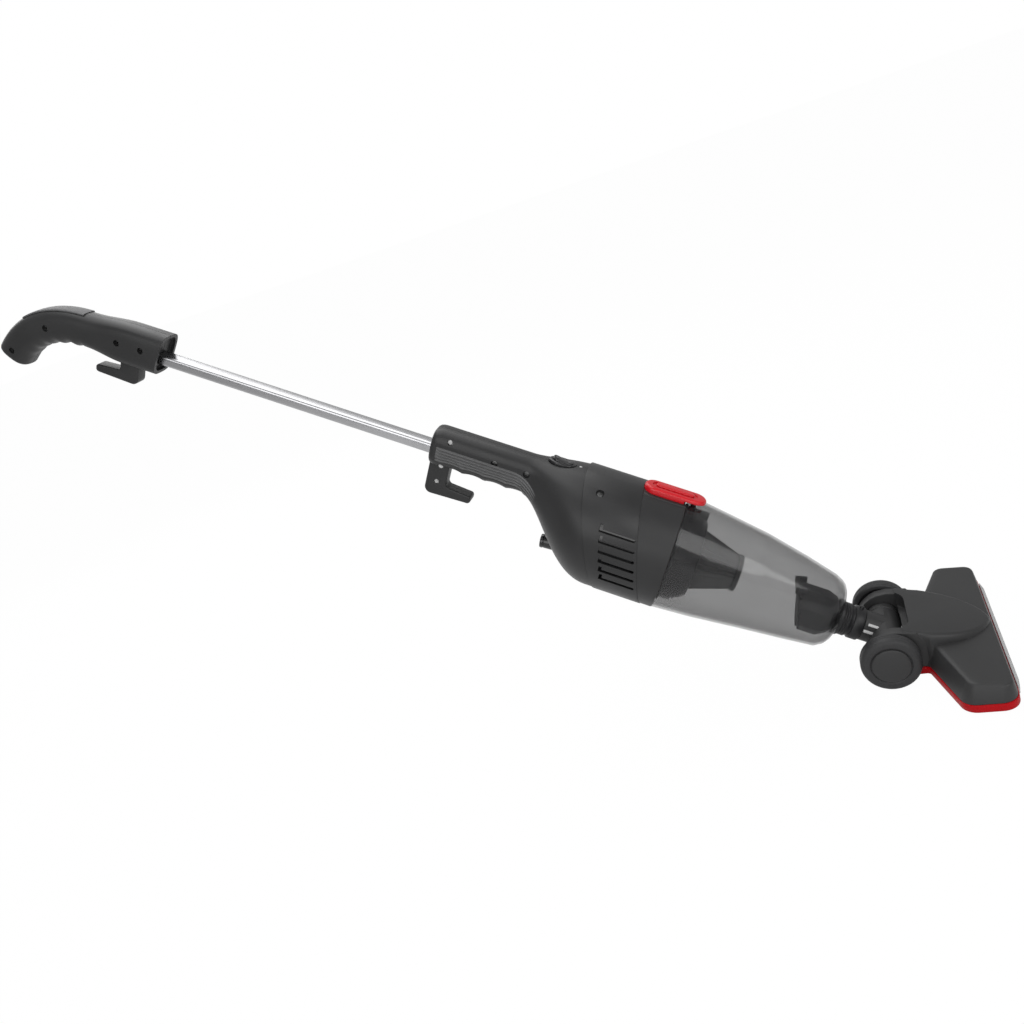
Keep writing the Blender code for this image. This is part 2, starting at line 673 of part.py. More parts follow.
def insert_profile(grow):
    """End view of the ribbed side insert: flat back, ribs outwards (y to the right)."""
    back = GRIP_HALF_WIDTH - INSERT_DEPTH - grow
    front = GRIP_HALF_WIDTH + (8.0 * MM if grow > 0.0 else 0.0)
    low = GRIP_LINE - 11.5 * MM
    high = low + INSERT_HEIGHT
    if grow > 0.0:
        return [(back, low - grow), (front, low - grow), (front, high + grow), (back, high + grow)]
    points = [(back, low)]
    rib_height = 0.9 * MM
    for i in range(INSERT_RIBS):
        base = low + INSERT_HEIGHT * i / INSERT_RIBS
        step = INSERT_HEIGHT / INSERT_RIBS
        points.append((front - rib_height, base + 0.05 * step))
        points.append((front, base + 0.3 * step))
        points.append((front, base + 0.7 * step))
        points.append((front - rib_height, base + 0.95 * step))
    points.append((back, high))
    return points


def make_inserts():
    low = HOUSING_REAR + 8.0 * MM
    high = low + INSERT_LENGTH
    for side_name, side in SIDES:
        ribs = [(side * y, z) for y, z in insert_profile(0.0)]
        bed = [(side * y, z) for y, z in insert_profile(SEAM_GAP)]
        plate("grip_insert_" + side_name, [ribs], low, high, SOFT_GREY, STICK, "X")
        pocket = plate("grip_insert_pocket_" + side_name, [bed], low - SEAM_GAP, high + SEAM_GAP,
                       None, STICK, "X")
        cut(bpy.data.objects["rear_housing_" + side_name], pocket)


def motor_rib():
    """The partition that carries the motor's rear mount, with a hole for the wires."""
    middle = RIB_FRONT - RIB_THICKNESS / 2.0
    edge = [(p.y, p.z) for p in body_ring(middle, SHELL_WALL * 0.6, wave=False)]
    seat = circle(0.0, MOTOR_LINE, REAR_MOUNT_RADIUS + SEAM_GAP)
    wires = circle(0.0, MOTOR_LINE - 24.0 * MM, 5.0 * MM, 12)
    return plate("motor_rib", [edge, seat, wires], RIB_FRONT - RIB_THICKNESS, RIB_FRONT, None, STICK, "X")


def make_rear_housing():
    socket = pole_socket("grip_socket", HOUSING_REAR - 10.0 * MM,
                         HOUSING_REAR + POLE_IN_GRIP + SEAM_GAP)
    cavity_start = HOUSING_REAR + GRIP_LENGTH + 14.0 * MM
    cavity = loft("housing_cavity", housing_rings(SHELL_WALL, cavity_start), None, STICK)
    wire_way = cylinder("wire_way", 4.0 * MM,
                        (HOUSING_REAR + POLE_IN_GRIP + 6.0 * MM, 0.0, GRIP_LINE),
                        (cavity_start + 10.0 * MM, 0.0, GRIP_LINE - 4.0 * MM), None, STICK, 12)
    behind_seam = seam_block("behind_seam", 0.0, False)
    hook = plate("lower_hook", [lower_hook_outline()], -HOOK_HALF_WIDTH, HOOK_HALF_WIDTH, None,
                 STICK, "Y")
    strap_places = ((19.0 * MM, GRIP_LINE + 12.0 * MM), (14.0 * MM, GRIP_LINE - 16.5 * MM),
                    (12.0 * MM, GRIP_LINE - GRIP_HALF_HEIGHT - 17.0 * MM))
    straps = []
    for number, (dx, z) in enumerate(strap_places):
        x = HOUSING_REAR + dx
        straps.append(cylinder("strap_hole_%d" % number, STRAP_HOLE_RADIUS, (x, -0.03, z),
                               (x, 0.03, z), None, STICK, SMALL_ROUND))
    rib = motor_rib()
    for side_name, side in SIDES:
        shell = loft("rear_housing_" + side_name, housing_rings(0.0, 0.0), CHARCOAL, STICK)
        join(shell, hook)
        cut(shell, socket, cavity, wire_way, *straps)
        join(shell, rib)
        boolean(shell, behind_seam, "INTERSECT")
        boolean(shell, half_space("housing_half_" + side_name, side), "INTERSECT")
    right = bpy.data.objects["rear_housing_right"]
    for number, share in enumerate(SCREW_SHARES):
        x = HOUSING_REAR + share * HOUSING_LENGTH
        z = GRIP_LINE + 5.5 * MM
        cut(right, cylinder("grip_screw_well_%d" % number, SCREW_RECESS_RADIUS,
                            (x, -GRIP_HALF_WIDTH + SCREW_RECESS_DEPTH, z), (x, -0.03, z),
                            None, STICK, SMALL_ROUND))


def vent_outline(x, z):
    """One vent seen from the side: a long slot whose rear end turns up."""
    half = VENT_HEIGHT / 2.0
    corners = [(x, z - half), (x + VENT_LENGTH, z - half), (x + VENT_LENGTH, z + half),
               (x + VENT_HEIGHT, z + half), (x + VENT_HEIGHT, z + half + VENT_HOOK),
               (x, z + half + VENT_HOOK)]
    return corners


def stadium(cx, length, width, steps=8):
    """Outline of a slot with round ends, lying along x."""
    radius = width / 2.0
    reach = length / 2.0 - radius
    points = []
    for end in (1.0, -1.0):
        for i in range(steps + 1):
            angle = -math.pi / 2 + math.pi * i / steps + (0.0 if end > 0 else math.pi)
            points.append(Vector((cx + end * reach + radius * math.cos(angle),
                                  radius * math.sin(angle))))
    return points


BUTTON_CENTRE = CUP_REAR + BUTTON_OVER_CUP - BUTTON_LENGTH / 2.0
BUTTON_TOP = MOTOR_LINE + CASING_RADIUS + CASING_PROUD + BUTTON_PROUD
BUTTON_PIVOT = (CUP_REAR - 12.0 * MM, MOTOR_LINE + CASING_RADIUS - 4.5 * MM)
BUTTON_FOOT = BUTTON_PIVOT[1] - 2.5 * MM
SEAT_LOW = BUTTON_PIVOT[1] - 6.0 * MM
LEAF_THICKNESS = 0.8 * MM
LEAF_LOW = BUTTON_FOOT - LEAF_THICKNESS - 0.7 * MM
LEAF_REAR = BUTTON_CENTRE - 20.0 * MM
LEAF_ANCHOR_HALF = 13.6 * MM
SEAT_RELIEF_HALF = 24.0 * MM


def make_casing():
    radius = CASING_RADIUS + CASING_PROUD
    rear = CASING_REAR - 45.0 * MM
    rings = [section(x, 0.0, MOTOR_LINE, radius, radius, 2.1, 32) for x in (rear, CUP_REAR - SEAM_GAP)]
    casing = loft("motor_casing", rings, CHARCOAL, STICK)
    seat = plate("button_seat", [stadium(BUTTON_CENTRE - 4.0 * MM, BUTTON_LENGTH + 2.0 * MM,
                                         BUTTON_WIDTH + 10.0 * MM)],
                 SEAT_LOW, BUTTON_TOP - BUTTON_PROUD - 1.5 * MM, None, STICK)
    bore = cylinder("casing_bore", radius - SHELL_WALL, (rear - CUTTER_MARGIN, 0.0, MOTOR_LINE),
                    (CUP_REAR + CUTTER_MARGIN, 0.0, MOTOR_LINE), None, STICK, BIG_ROUND)
    well = plate("button_well", [stadium(BUTTON_CENTRE, BUTTON_LENGTH + 2 * RUN_GAP,
                                         BUTTON_WIDTH + 2 * RUN_GAP)],
                 BUTTON_PIVOT[1] - 20.0 * MM, BUTTON_TOP + 0.02, None, STICK)
    front_face = box("casing_front_face", (CUP_REAR - SEAM_GAP, -0.1, -0.1),
                     (CUP_REAR + 0.1, 0.1, 0.16), None, STICK)
    pin_hole = cylinder("button_pin_hole", 1.3 * MM, (BUTTON_PIVOT[0], -15.0 * MM, BUTTON_PIVOT[1]),
                        (BUTTON_PIVOT[0], 15.0 * MM, BUTTON_PIVOT[1]), None, STICK, 12)
    cut(casing, bore)
    join(casing, seat)
    leaf_slot = box("leaf_slot", (LEAF_REAR - SEAM_GAP, -LEAF_ANCHOR_HALF - SEAM_GAP, LEAF_LOW - SEAM_GAP),
                    (LEAF_REAR + 4.0 * MM + SEAM_GAP, LEAF_ANCHOR_HALF + SEAM_GAP, LEAF_LOW + LEAF_THICKNESS + SEAM_GAP),
                    None, STICK)
    cut(casing, well, front_face, pin_hole, leaf_slot)
    for side_name, side in SIDES:
        for i in range(VENT_COUNT):
            lift = (i - (VENT_COUNT - 1) / 2.0) * VENT_PITCH
            x = CASING_REAR + 14.0 * MM - lift * math.tan(SEAM_TILT) * 0.7
            low, high = sorted((side * 0.03, side * 0.07))
            cut(casing, plate("vent_%s_%d" % (side_name, i), [vent_outline(x, MOTOR_LINE + lift)],
                              low, high, None, STICK, "Y"))
    boolean(casing, seam_block("ahead_of_seam", SEAM_GAP, True), "INTERSECT")
    well_angle = math.radians(58.0)
    x = CASING_REAR - 2.0 * MM
    y = -radius * math.cos(well_angle)
    z = MOTOR_LINE + radius * math.sin(well_angle)
    cut(casing, cylinder("casing_screw_well", SCREW_RECESS_RADIUS + 0.6 * MM, (x, y + 1.4 * MM, z - 1.4 * MM),
                         (x, y - 0.01, z + 0.01), None, STICK, 16))


# ------------------------------------------------------------------ motor and fan


def make_bulkhead():
    """The wall between fan and filter: an open ring of radial bars round a hub."""
    radius = CASING_RADIUS + CASING_PROUD - SHELL_WALL - SEAM_GAP
    bars = 8
    loops = [circle(0.0, MOTOR_LINE, radius, BIG_ROUND)]
    inner, outer = 9.0 * MM, 30.0 * MM
    for i in range(bars):
        middle = FULL_TURN * i / bars
        half = FULL_TURN / bars / 2.0 - 0.07
        inner_half = FULL_TURN / bars / 2.0 - 0.2
        gap = []
        for k in range(4):
            angle = middle - half + 2 * half * k / 3
            gap.append((outer * math.cos(angle), MOTOR_LINE + outer * math.sin(angle)))
        for k in range(2):
            angle = middle + inner_half - 2 * inner_half * k
            gap.append((inner * math.cos(angle), MOTOR_LINE + inner * math.sin(angle)))
        loops.append(gap)
    plate_obj = plate("intake_bulkhead", loops, BULKHEAD_REAR, BULKHEAD_FRONT, BLACK, STICK, "X")
    cut(plate_obj, seat_relief("bulkhead_relief"))


def make_motor():
    centre = (0.0, 0.0, MOTOR_LINE)
    r, w = MOTOR_RADIUS, MOTOR_WALL
    can = [(SHAFT_RADIUS + RUN_GAP, MOTOR_FRONT), (r, MOTOR_FRONT), (r, MOTOR_REAR),
           (r - w, MOTOR_REAR), (r - w, MOTOR_FRONT - w), (SHAFT_RADIUS + RUN_GAP, MOTOR_FRONT - w)]
    motor = turned("motor_can", can, STEEL, STICK, "X", centre, ROUND, True)
    for i in range(4):
        angle = FULL_TURN * (i + 0.5) / 4
        out = Vector((0.0, math.cos(angle), math.sin(angle)))
        middle = Vector((MOTOR_REAR + 14.0 * MM, 0.0, MOTOR_LINE))
        cut(motor, cylinder("can_window_%d" % i, 6.0 * MM, middle + out * 0.02,
                            middle + out * 0.05, None, STICK, 8))
    end = [(SHAFT_RADIUS + RUN_GAP, MOTOR_REAR - SEAM_GAP), (r, MOTOR_REAR - SEAM_GAP),
           (r, MOTOR_REAR - 3.0 * MM), (BOSS_RADIUS, MOTOR_REAR - 3.0 * MM),
           (BOSS_RADIUS, MOTOR_REAR - BOSS_LENGTH), (SHAFT_RADIUS + RUN_GAP, MOTOR_REAR - BOSS_LENGTH)]
    turned("motor_end_bell", end, BLACK, STICK, "X", centre, ROUND, True)
    a = ARMATURE_RADIUS
    core_front, core_rear = MOTOR_FRONT - 10.0 * MM, MOTOR_REAR + 22.0 * MM
    shaft = [(0.0, FAN_FRONT + 2.0 * MM), (SHAFT_RADIUS, FAN_FRONT + 2.0 * MM),
             (SHAFT_RADIUS, core_front + 6.0 * MM), (a * 0.7, core_front + 4.0 * MM),
             (a * 0.8, core_front), (a, core_front), (a, core_rear), (a * 0.8, core_rear),
             (a * 0.7, core_rear - 4.0 * MM), (9.0 * MM, core_rear - 5.0 * MM),
             (9.0 * MM, core_rear - 17.0 * MM), (SHAFT_RADIUS, core_rear - 17.0 * MM),
             (SHAFT_RADIUS, MOTOR_REAR - 5.0 * MM), (0.0, MOTOR_REAR - 5.0 * MM)]
    turned("armature", shaft, COPPER, STICK, "X", centre, 16)
    for side_name, side in SIDES:
        low, high = sorted((side * (9.0 * MM + SEAM_GAP), side * 0.93 * (r - w)))
        x = core_rear - 11.0 * MM
        box("carbon_brush_" + side_name, (x - 3.0 * MM, low, MOTOR_LINE - 2.5 * MM),
            (x + 3.0 * MM, high, MOTOR_LINE + 2.5 * MM), BLACK, STICK)


def make_fan():
    centre = (0.0, 0.0, MOTOR_LINE)
    bore = SHAFT_RADIUS + SEAM_GAP
    disc = [(bore, FAN_FRONT), (7.0 * MM, FAN_FRONT), (9.0 * MM, FAN_REAR + 2.0 * MM),
            (FAN_RADIUS, FAN_REAR + 1.5 * MM), (FAN_RADIUS, FAN_REAR), (bore, FAN_REAR)]
    fan = turned("impeller", disc, PALE, STICK, "X", centre, ROUND, True)
    thickness = 1.2 * MM
    for i in range(FAN_BLADES):
        start = FULL_TURN * i / FAN_BLADES
        outer_side, inner_side = [], []
        steps = 3
        for k in range(steps + 1):
            share = k / steps
            radius = 7.5 * MM + (FAN_RADIUS - 8.5 * MM) * share
            angle = start - 1.0 * share
            point = Vector((radius * math.cos(angle), radius * math.sin(angle)))
            across = Vector((-math.sin(angle), math.cos(angle))) * thickness / 2.0
            lift = Vector((0.0, MOTOR_LINE))
            outer_side.append(point + across + lift)
            inner_side.append(point - across + lift)
        blade = plate("fan_blade_%d" % i, [outer_side + inner_side[::-1]], FAN_REAR + 1.0 * MM,
                      FAN_FRONT - 0.5 * MM, None, STICK, "X")
        join(fan, blade)
    inside = FAN_RADIUS + 3.0 * MM
    outside = inside + SHROUD_WALL
    eye = 17.0 * MM
    shroud = [(eye, FAN_FRONT + 1.0 * MM + SHROUD_WALL), (outside, FAN_FRONT + 1.0 * MM + SHROUD_WALL),
              (outside, MOTOR_FRONT + 2.0 * MM), (inside, MOTOR_FRONT + 2.0 * MM),
              (inside, FAN_FRONT + 1.0 * MM), (eye, FAN_FRONT + 1.0 * MM)]
    turned("fan_shroud", shroud, STEEL, STICK, "X", centre, ROUND, True)
    casing_inside = CASING_RADIUS + CASING_PROUD - SHELL_WALL
    front_mount = [(outside + SEAM_GAP, FAN_FRONT + 1.0 * MM), (casing_inside - 2.0 * SEAM_GAP, FAN_FRONT + 1.0 * MM),
                   (casing_inside - 2.0 * SEAM_GAP, FAN_REAR), (outside + SEAM_GAP, FAN_REAR)]
    mount = turned("front_motor_mount", front_mount, RUBBER, STICK, "X", centre, ROUND, True)
    cut(mount, seat_relief("mount_relief"))
    rear_mount = [(BOSS_RADIUS + SEAM_GAP, RIB_FRONT + 0.5 * MM), (REAR_MOUNT_RADIUS, RIB_FRONT + 0.5 * MM),
                  (REAR_MOUNT_RADIUS, RIB_FRONT - RIB_THICKNESS), (BOSS_RADIUS + SEAM_GAP, RIB_FRONT - RIB_THICKNESS)]
    turned("rear_motor_mount", rear_mount, RUBBER, STICK, "X", centre, ROUND, True)
    diffuser = [(SHAFT_RADIUS + RUN_GAP, MOTOR_FRONT + 2.0 * MM - SEAM_GAP),
                (outside, MOTOR_FRONT + 2.0 * MM - SEAM_GAP), (outside, MOTOR_FRONT + SEAM_GAP),
                (SHAFT_RADIUS + RUN_GAP, MOTOR_FRONT + SEAM_GAP)]
    plate_obj = turned("diffuser_plate", diffuser, BLACK, STICK, "X", centre, ROUND, True)
    for i in range(4):
        angle = FULL_TURN * (i + 0.5) / 4
        middle = Vector((0.0, 38.0 * MM * math.cos(angle), MOTOR_LINE + 38.0 * MM * math.sin(angle)))
        cut(plate_obj, cylinder("diffuser_port_%d" % i, 4.0 * MM, middle + Vector((MOTOR_FRONT - 0.01, 0, 0)),
                                middle + Vector((MOTOR_FRONT + 0.02, 0, 0)), None, STICK, 8))


def seat_relief(name):
    """Room for the button's seat at the top of a piece inside the casing."""
    reach = BUTTON_LENGTH
    return box(name, (BUTTON_CENTRE - reach, -SEAT_RELIEF_HALF, SEAT_LOW - 1.0 * MM),
               (BUTTON_CENTRE + reach, SEAT_RELIEF_HALF, BUTTON_TOP), None, STICK)


# ------------------------------------------------------------------ switch, gland, button
SWITCH_X = HOUSING_REAR + SWITCH_SHARE * HOUSING_LENGTH


def body_top(x):
    """Height of the hand unit's top at x."""
    mix = swell(x)
    line = GRIP_LINE + mix * (MOTOR_LINE - GRIP_LINE)
    return line + GRIP_HALF_HEIGHT + mix * (CASING_RADIUS - GRIP_HALF_HEIGHT)


def oval_rings(length, width, levels):
    """Oval rings in the XY plane about the switch, at (height, shrink) levels."""
    rings = []
    for z, shrink in levels:
        ring = []
        for i in range(24):
            angle = FULL_TURN * i / 24
            ring.append(Vector((SWITCH_X + (length / 2.0 - shrink) * math.cos(angle),
                                (width / 2.0 - shrink) * math.sin(angle), z)))
        rings.append(ring)
    return rings


def make_switch():
    top = body_top(SWITCH_X)
    bezel = loft("switch_bezel", oval_rings(BEZEL_LENGTH, BEZEL_WIDTH, (
        (top - 5.0 * MM, 0.8 * MM), (top + 1.0 * MM, 0.0), (top + 2.2 * MM, 1.2 * MM))), BLACK, STICK)
    opening = plate("switch_opening", [stadium(SWITCH_X, ROCKER_LENGTH + 2 * RUN_GAP, ROCKER_WIDTH + 2 * RUN_GAP)],
                    top - 0.02, top + 0.02, None, STICK)
    bed = loft("switch_bed", oval_rings(BEZEL_LENGTH + 2 * SEAM_GAP, BEZEL_WIDTH + 2 * SEAM_GAP, (
        (top - 5.0 * MM - SEAM_GAP, 0.0), (top + 8.0 * MM, 0.0))), None, STICK)
    body_depth = 14.0 * MM
    cut(bezel, opening)
    for side_name, side in SIDES:
        cut(bpy.data.objects["rear_housing_" + side_name], bed)
    body = box("switch_body",
               (SWITCH_X - ROCKER_LENGTH / 2 + 2.0 * MM, -ROCKER_WIDTH / 2, top - 5.0 * MM - body_depth),
               (SWITCH_X + ROCKER_LENGTH / 2, ROCKER_WIDTH / 2, top - 5.0 * MM - SEAM_GAP), BLACK, STICK)
    for share in (-0.3, 0.3):
        x = SWITCH_X + share * ROCKER_LENGTH
        join(body, box("terminal_%+d" % round(share * 10), (x - 0.4 * MM, -2.4 * MM, top - 25.0 * MM),
                       (x + 0.4 * MM, 2.4 * MM, top - 18.0 * MM), None, STICK))
    make_rocker(top + ROCKER_PIVOT_LIFT)


def make_rocker(pivot_height):
    """The rocker rests with its front end pressed; its own frame sits on its pivot line."""
    seat = frame("rocker_frame", (SWITCH_X, 0.0, pivot_height), ROCKER_TILT, STICK)
    half = ROCKER_LENGTH / 2.0
    arch = []
    steps = 8
    for i in range(steps + 1):
        x = -half + ROCKER_LENGTH * i / steps
        arch.append((x, ROCKER_CROWN + ROCKER_DISH * (x / half) ** 2))
    side_foot = -1.2 * MM
    keel = -4.7 * MM
    keel_half = 3.0 * MM
    arch += [(half, side_foot), (keel_half, keel), (-keel_half, keel), (-half, side_foot)]
    rocker = plate("power_rocker", [arch], -ROCKER_WIDTH / 2, ROCKER_WIDTH / 2, BLACK, seat, "Y")
    boolean(rocker, plate("rocker_plan", [stadium(0.0, ROCKER_LENGTH, ROCKER_WIDTH)], -half, half,
                          None, seat), "INTERSECT")
    for share in (-0.32, 0.32):
        x = share * ROCKER_LENGTH
        join(rocker, cylinder("rocker_dot_%+d" % round(share * 100), 1.6 * MM, (x, 0.0, 0.0),
                              (x, 0.0, ROCKER_CROWN + 1.8 * MM), None, seat, 12, 1.0 * MM))


def make_gland():
    """The flexible boot where the mains cord enters, at the lower rear of the dome."""
    x = HOUSING_REAR + GLAND_SHARE * HOUSING_LENGTH
    z = MOTOR_LINE - 33.0 * MM
    way = Vector((-1.0, 0.0, -0.12)).normalized()
    root = Vector((x, 0.0, z))
    tip = root + way * (GLAND_LENGTH + 8.0 * MM)
    boot = cylinder("cord_gland", GLAND_RADIUS + 0.8 * MM, root, tip, BLACK, STICK, 16, GLAND_RADIUS - 0.4 * MM)
    for i in range(2):
        middle = root + way * (12.0 * MM + 5.0 * MM * i)
        rib = cylinder("gland_rib_%d" % i, GLAND_RADIUS + 1.0 * MM, middle - way * 1.0 * MM,
                       middle + way * 1.0 * MM, None, STICK, 16)
        join(boot, rib)
    cut(boot, cylinder("cord_bore", CORD_BORE_RADIUS, root - way * 2.0 * MM, tip + way * 2.0 * MM,
                       None, STICK, 16))
    hole = cylinder("gland_hole", GLAND_RADIUS + 1.0 * MM + SEAM_GAP, root - way * 4.0 * MM,
                    tip + way * 10.0 * MM, None, STICK, 20)
    for side_name, side in SIDES:
        cut(bpy.data.objects["rear_housing_" + side_name], hole)


def make_button():
    top = BUTTON_TOP
    foot = BUTTON_FOOT
    button = plate("release_button", [stadium(BUTTON_CENTRE, BUTTON_LENGTH, BUTTON_WIDTH)], foot, top,
                   RED, STICK, "Z", 2.0 * MM)
    under_hook = box("button_front_relief", (CUP_REAR - 3.0 * MM, -0.03, foot - 0.01),
                     (CUP_REAR + 0.06, 0.03, MOTOR_LINE + CASING_RADIUS + CASING_PROUD + 1.2 * MM),
                     None, STICK)
    pin_bore = cylinder("button_pin_bore", 1.3 * MM, (BUTTON_PIVOT[0], -0.03, BUTTON_PIVOT[1]),
                        (BUTTON_PIVOT[0], 0.03, BUTTON_PIVOT[1]), None, STICK, 12)
    hollow = box("button_hollow", (BUTTON_CENTRE - 22.0 * MM, -7.0 * MM, foot - 0.01),
                 (BUTTON_PIVOT[0] - 6.0 * MM, 7.0 * MM, foot + 4.0 * MM), None, STICK)
    cut(button, under_hook, pin_bore, hollow)
    bar = plate("button_bar", [stadium(BUTTON_CENTRE - 2.0 * MM, BUTTON_LENGTH * 0.62, 6.0 * MM)],
                top - 1.0 * MM, top + 1.1 * MM, None, STICK)
    join(button, bar)
    cylinder("button_pin", 1.0 * MM, (BUTTON_PIVOT[0], -14.5 * MM, BUTTON_PIVOT[1]),
             (BUTTON_PIVOT[0], 14.5 * MM, BUTTON_PIVOT[1]), STEEL, STICK, 12)


def make_latch():
    """Spring leaf held by its rear cross bar; its tooth rises into the notch of the cup's rim."""
    front = CUP_REAR + 9.0 * MM
    top = MOTOR_LINE + CASING_RADIUS - 1.4 * MM
    outline = [(LEAF_REAR, LEAF_LOW), (front, LEAF_LOW), (front, top), (front - 2.2 * MM, top),
               (front - 5.0 * MM, LEAF_LOW + 3.0 * MM), (front - 5.0 * MM, LEAF_LOW + LEAF_THICKNESS),
               (LEAF_REAR, LEAF_LOW + LEAF_THICKNESS)]
    leaf = plate("latch_leaf", [outline], -5.0 * MM, 5.0 * MM, PALE, STICK, "Y")
    join(leaf, box("leaf_anchor", (LEAF_REAR, -LEAF_ANCHOR_HALF, LEAF_LOW),
                   (LEAF_REAR + 4.0 * MM, LEAF_ANCHOR_HALF, LEAF_LOW + LEAF_THICKNESS), None, STICK))


# ------------------------------------------------------------------ dust cup and inlet
CUP_STATIONS = (
    # share of length, top, bottom, half width
    (0.00, 67.5, -45.5, 55.8),
    (0.22, 62.2, -43.2, 53.0),
    (0.50, 55.2, -38.7, 47.5),
    (0.75, 46.0, -35.6, 41.0),
    (0.93, 38.2, -33.2, 35.0),
    (0.972, 34.8, -28.5, 32.0),
    (1.00, 31.0, -20.5, 27.5),
)


def cup_ring(share, inset, sides=BIG_ROUND):
    """A section of the cup at a share of its length, blended between the stations."""
    for low, high in zip(CUP_STATIONS, CUP_STATIONS[1:]):
        if share <= high[0] or high is CUP_STATIONS[-1]:
            break
    mix = (share - low[0]) / (high[0] - low[0])
    top, bottom, half_width = [(low[k] + mix * (high[k] - low[k])) * MM for k in (1, 2, 3)]
    return section(CUP_REAR + share * CUP_LENGTH, 0.0, (top + bottom) / 2.0, half_width - inset,
                   (top - bottom) / 2.0 - inset, 2.15, sides)


def make_cup():
    shares = (0.0, 0.22, 0.5, 0.75, 0.93, 0.972, 1.0)
    cup = loft("dust_cup", [cup_ring(share, 0.0) for share in shares], SMOKE, STICK)
    wall_share = CUP_WALL / CUP_LENGTH
    inner = [cup_ring(share, CUP_WALL) for share in shares[:-1]]
    inner.append(cup_ring(1.0 - wall_share, CUP_WALL))
    inner[0] = [p - Vector((CUTTER_MARGIN, 0.0, 0.0)) for p in inner[0]]
    cavity = loft("cup_cavity", inner, None, STICK)
    mouth = cylinder("cup_mouth", INLET_RADIUS, (CUP_FRONT - 0.02, 0.0, 0.0), (CUP_FRONT + 0.02, 0.0, 0.0),
                     None, STICK, ROUND)
    notch = box("cup_notch", (CUP_REAR + 3.4 * MM, -6.0 * MM, MOTOR_LINE + 40.0 * MM),
                (CUP_REAR + 9.6 * MM, 6.0 * MM, MOTOR_LINE + 70.0 * MM), None, STICK)
    cut(cup, cavity, mouth, notch)


DUCT_FRONT = CUP_FRONT - CUP_WALL - SEAM_GAP
DUCT_REAR = DUCT_FRONT - DUCT_LENGTH


def duct_plane(offset):
    """Matrix of the duct's slanted rear end, moved along its own normal by offset."""
    return (Matrix.Translation((DUCT_REAR, 0.0, 0.0)) @ Matrix.Rotation(-DUCT_SLANT, 4, "Y")
            @ Matrix.Translation((offset, 0.0, 0.0)))


def make_duct():
    sides = 8
    rear = DUCT_REAR - 20.0 * MM
    lift = -1.5 * MM
    duct = loft("inlet_duct", [
        section(rear, 0.0, lift, DUCT_RADIUS, DUCT_RADIUS, 2.0, sides),
        section(DUCT_FRONT - 10.0 * MM, 0.0, lift, DUCT_RADIUS, DUCT_RADIUS, 2.0, sides),
        section(DUCT_FRONT, 0.0, 0.0, DUCT_RADIUS - 4.0 * MM, DUCT_RADIUS - 5.0 * MM, 2.0, sides)], BLACK, STICK)
    bore = cylinder("duct_bore", DUCT_RADIUS * math.cos(math.pi / sides) - DUCT_WALL, (rear - 0.01, 0.0, lift),
                    (DUCT_FRONT - 9.0 * MM, 0.0, lift), None, STICK, 24)
    mouth = cylinder("duct_mouth", INLET_RADIUS, (DUCT_FRONT - 14.0 * MM, 0.0, 0.0), (DUCT_FRONT + 0.01, 0.0, 0.0),
                     None, STICK, 24)
    slant = box("duct_slant_cut", (-0.1, -0.06, -0.08), (0.0, 0.06, 0.08), None, STICK, duct_plane(0.0))
    cut(duct, bore, mouth, slant)
    flap = cylinder("inlet_flap", DUCT_RADIUS * math.cos(math.pi / sides) - 0.9 * MM,
                    (-FLAP_THICKNESS - SEAM_GAP, 0.0, lift), (-SEAM_GAP, 0.0, lift), RUBBER, STICK, 24)
    flap.data.transform(duct_plane(0.0))
    hinge_z = DUCT_RADIUS + lift - 0.5 * MM
    for name, radius, mat in (("inlet_flap_hinge", FLAP_PIN_RADIUS + 1.2 * MM, None),
                              ("flap_pin_bore", FLAP_PIN_RADIUS + SEAM_GAP, None),
                              ("flap_pin", FLAP_PIN_RADIUS, STEEL)):
        reach = {"inlet_flap_hinge": 9.0 * MM, "flap_pin_bore": 12.0 * MM, "flap_pin": 11.7 * MM}[name]
        rod = cylinder(name, radius, (-2.8 * MM, -reach, hinge_z), (-2.8 * MM, reach, hinge_z), mat, STICK, 12)
        rod.data.transform(duct_plane(0.0))
    join(flap, bpy.data.objects["inlet_flap_hinge"])
    cut(flap, bpy.data.objects["flap_pin_bore"])
    for side_name, side in SIDES:
        low, high = sorted((side * 9.5 * MM, side * 12.5 * MM))
        ear = box("duct_ear_" + side_name, (-5.0 * MM, low, hinge_z - 3.6 * MM), (6.0 * MM, high, hinge_z + 2.4 * MM),
                  None, STICK, duct_plane(0.0))
        join(duct, ear)
    cut(duct, bpy.data.objects["flap_pin_bore"])


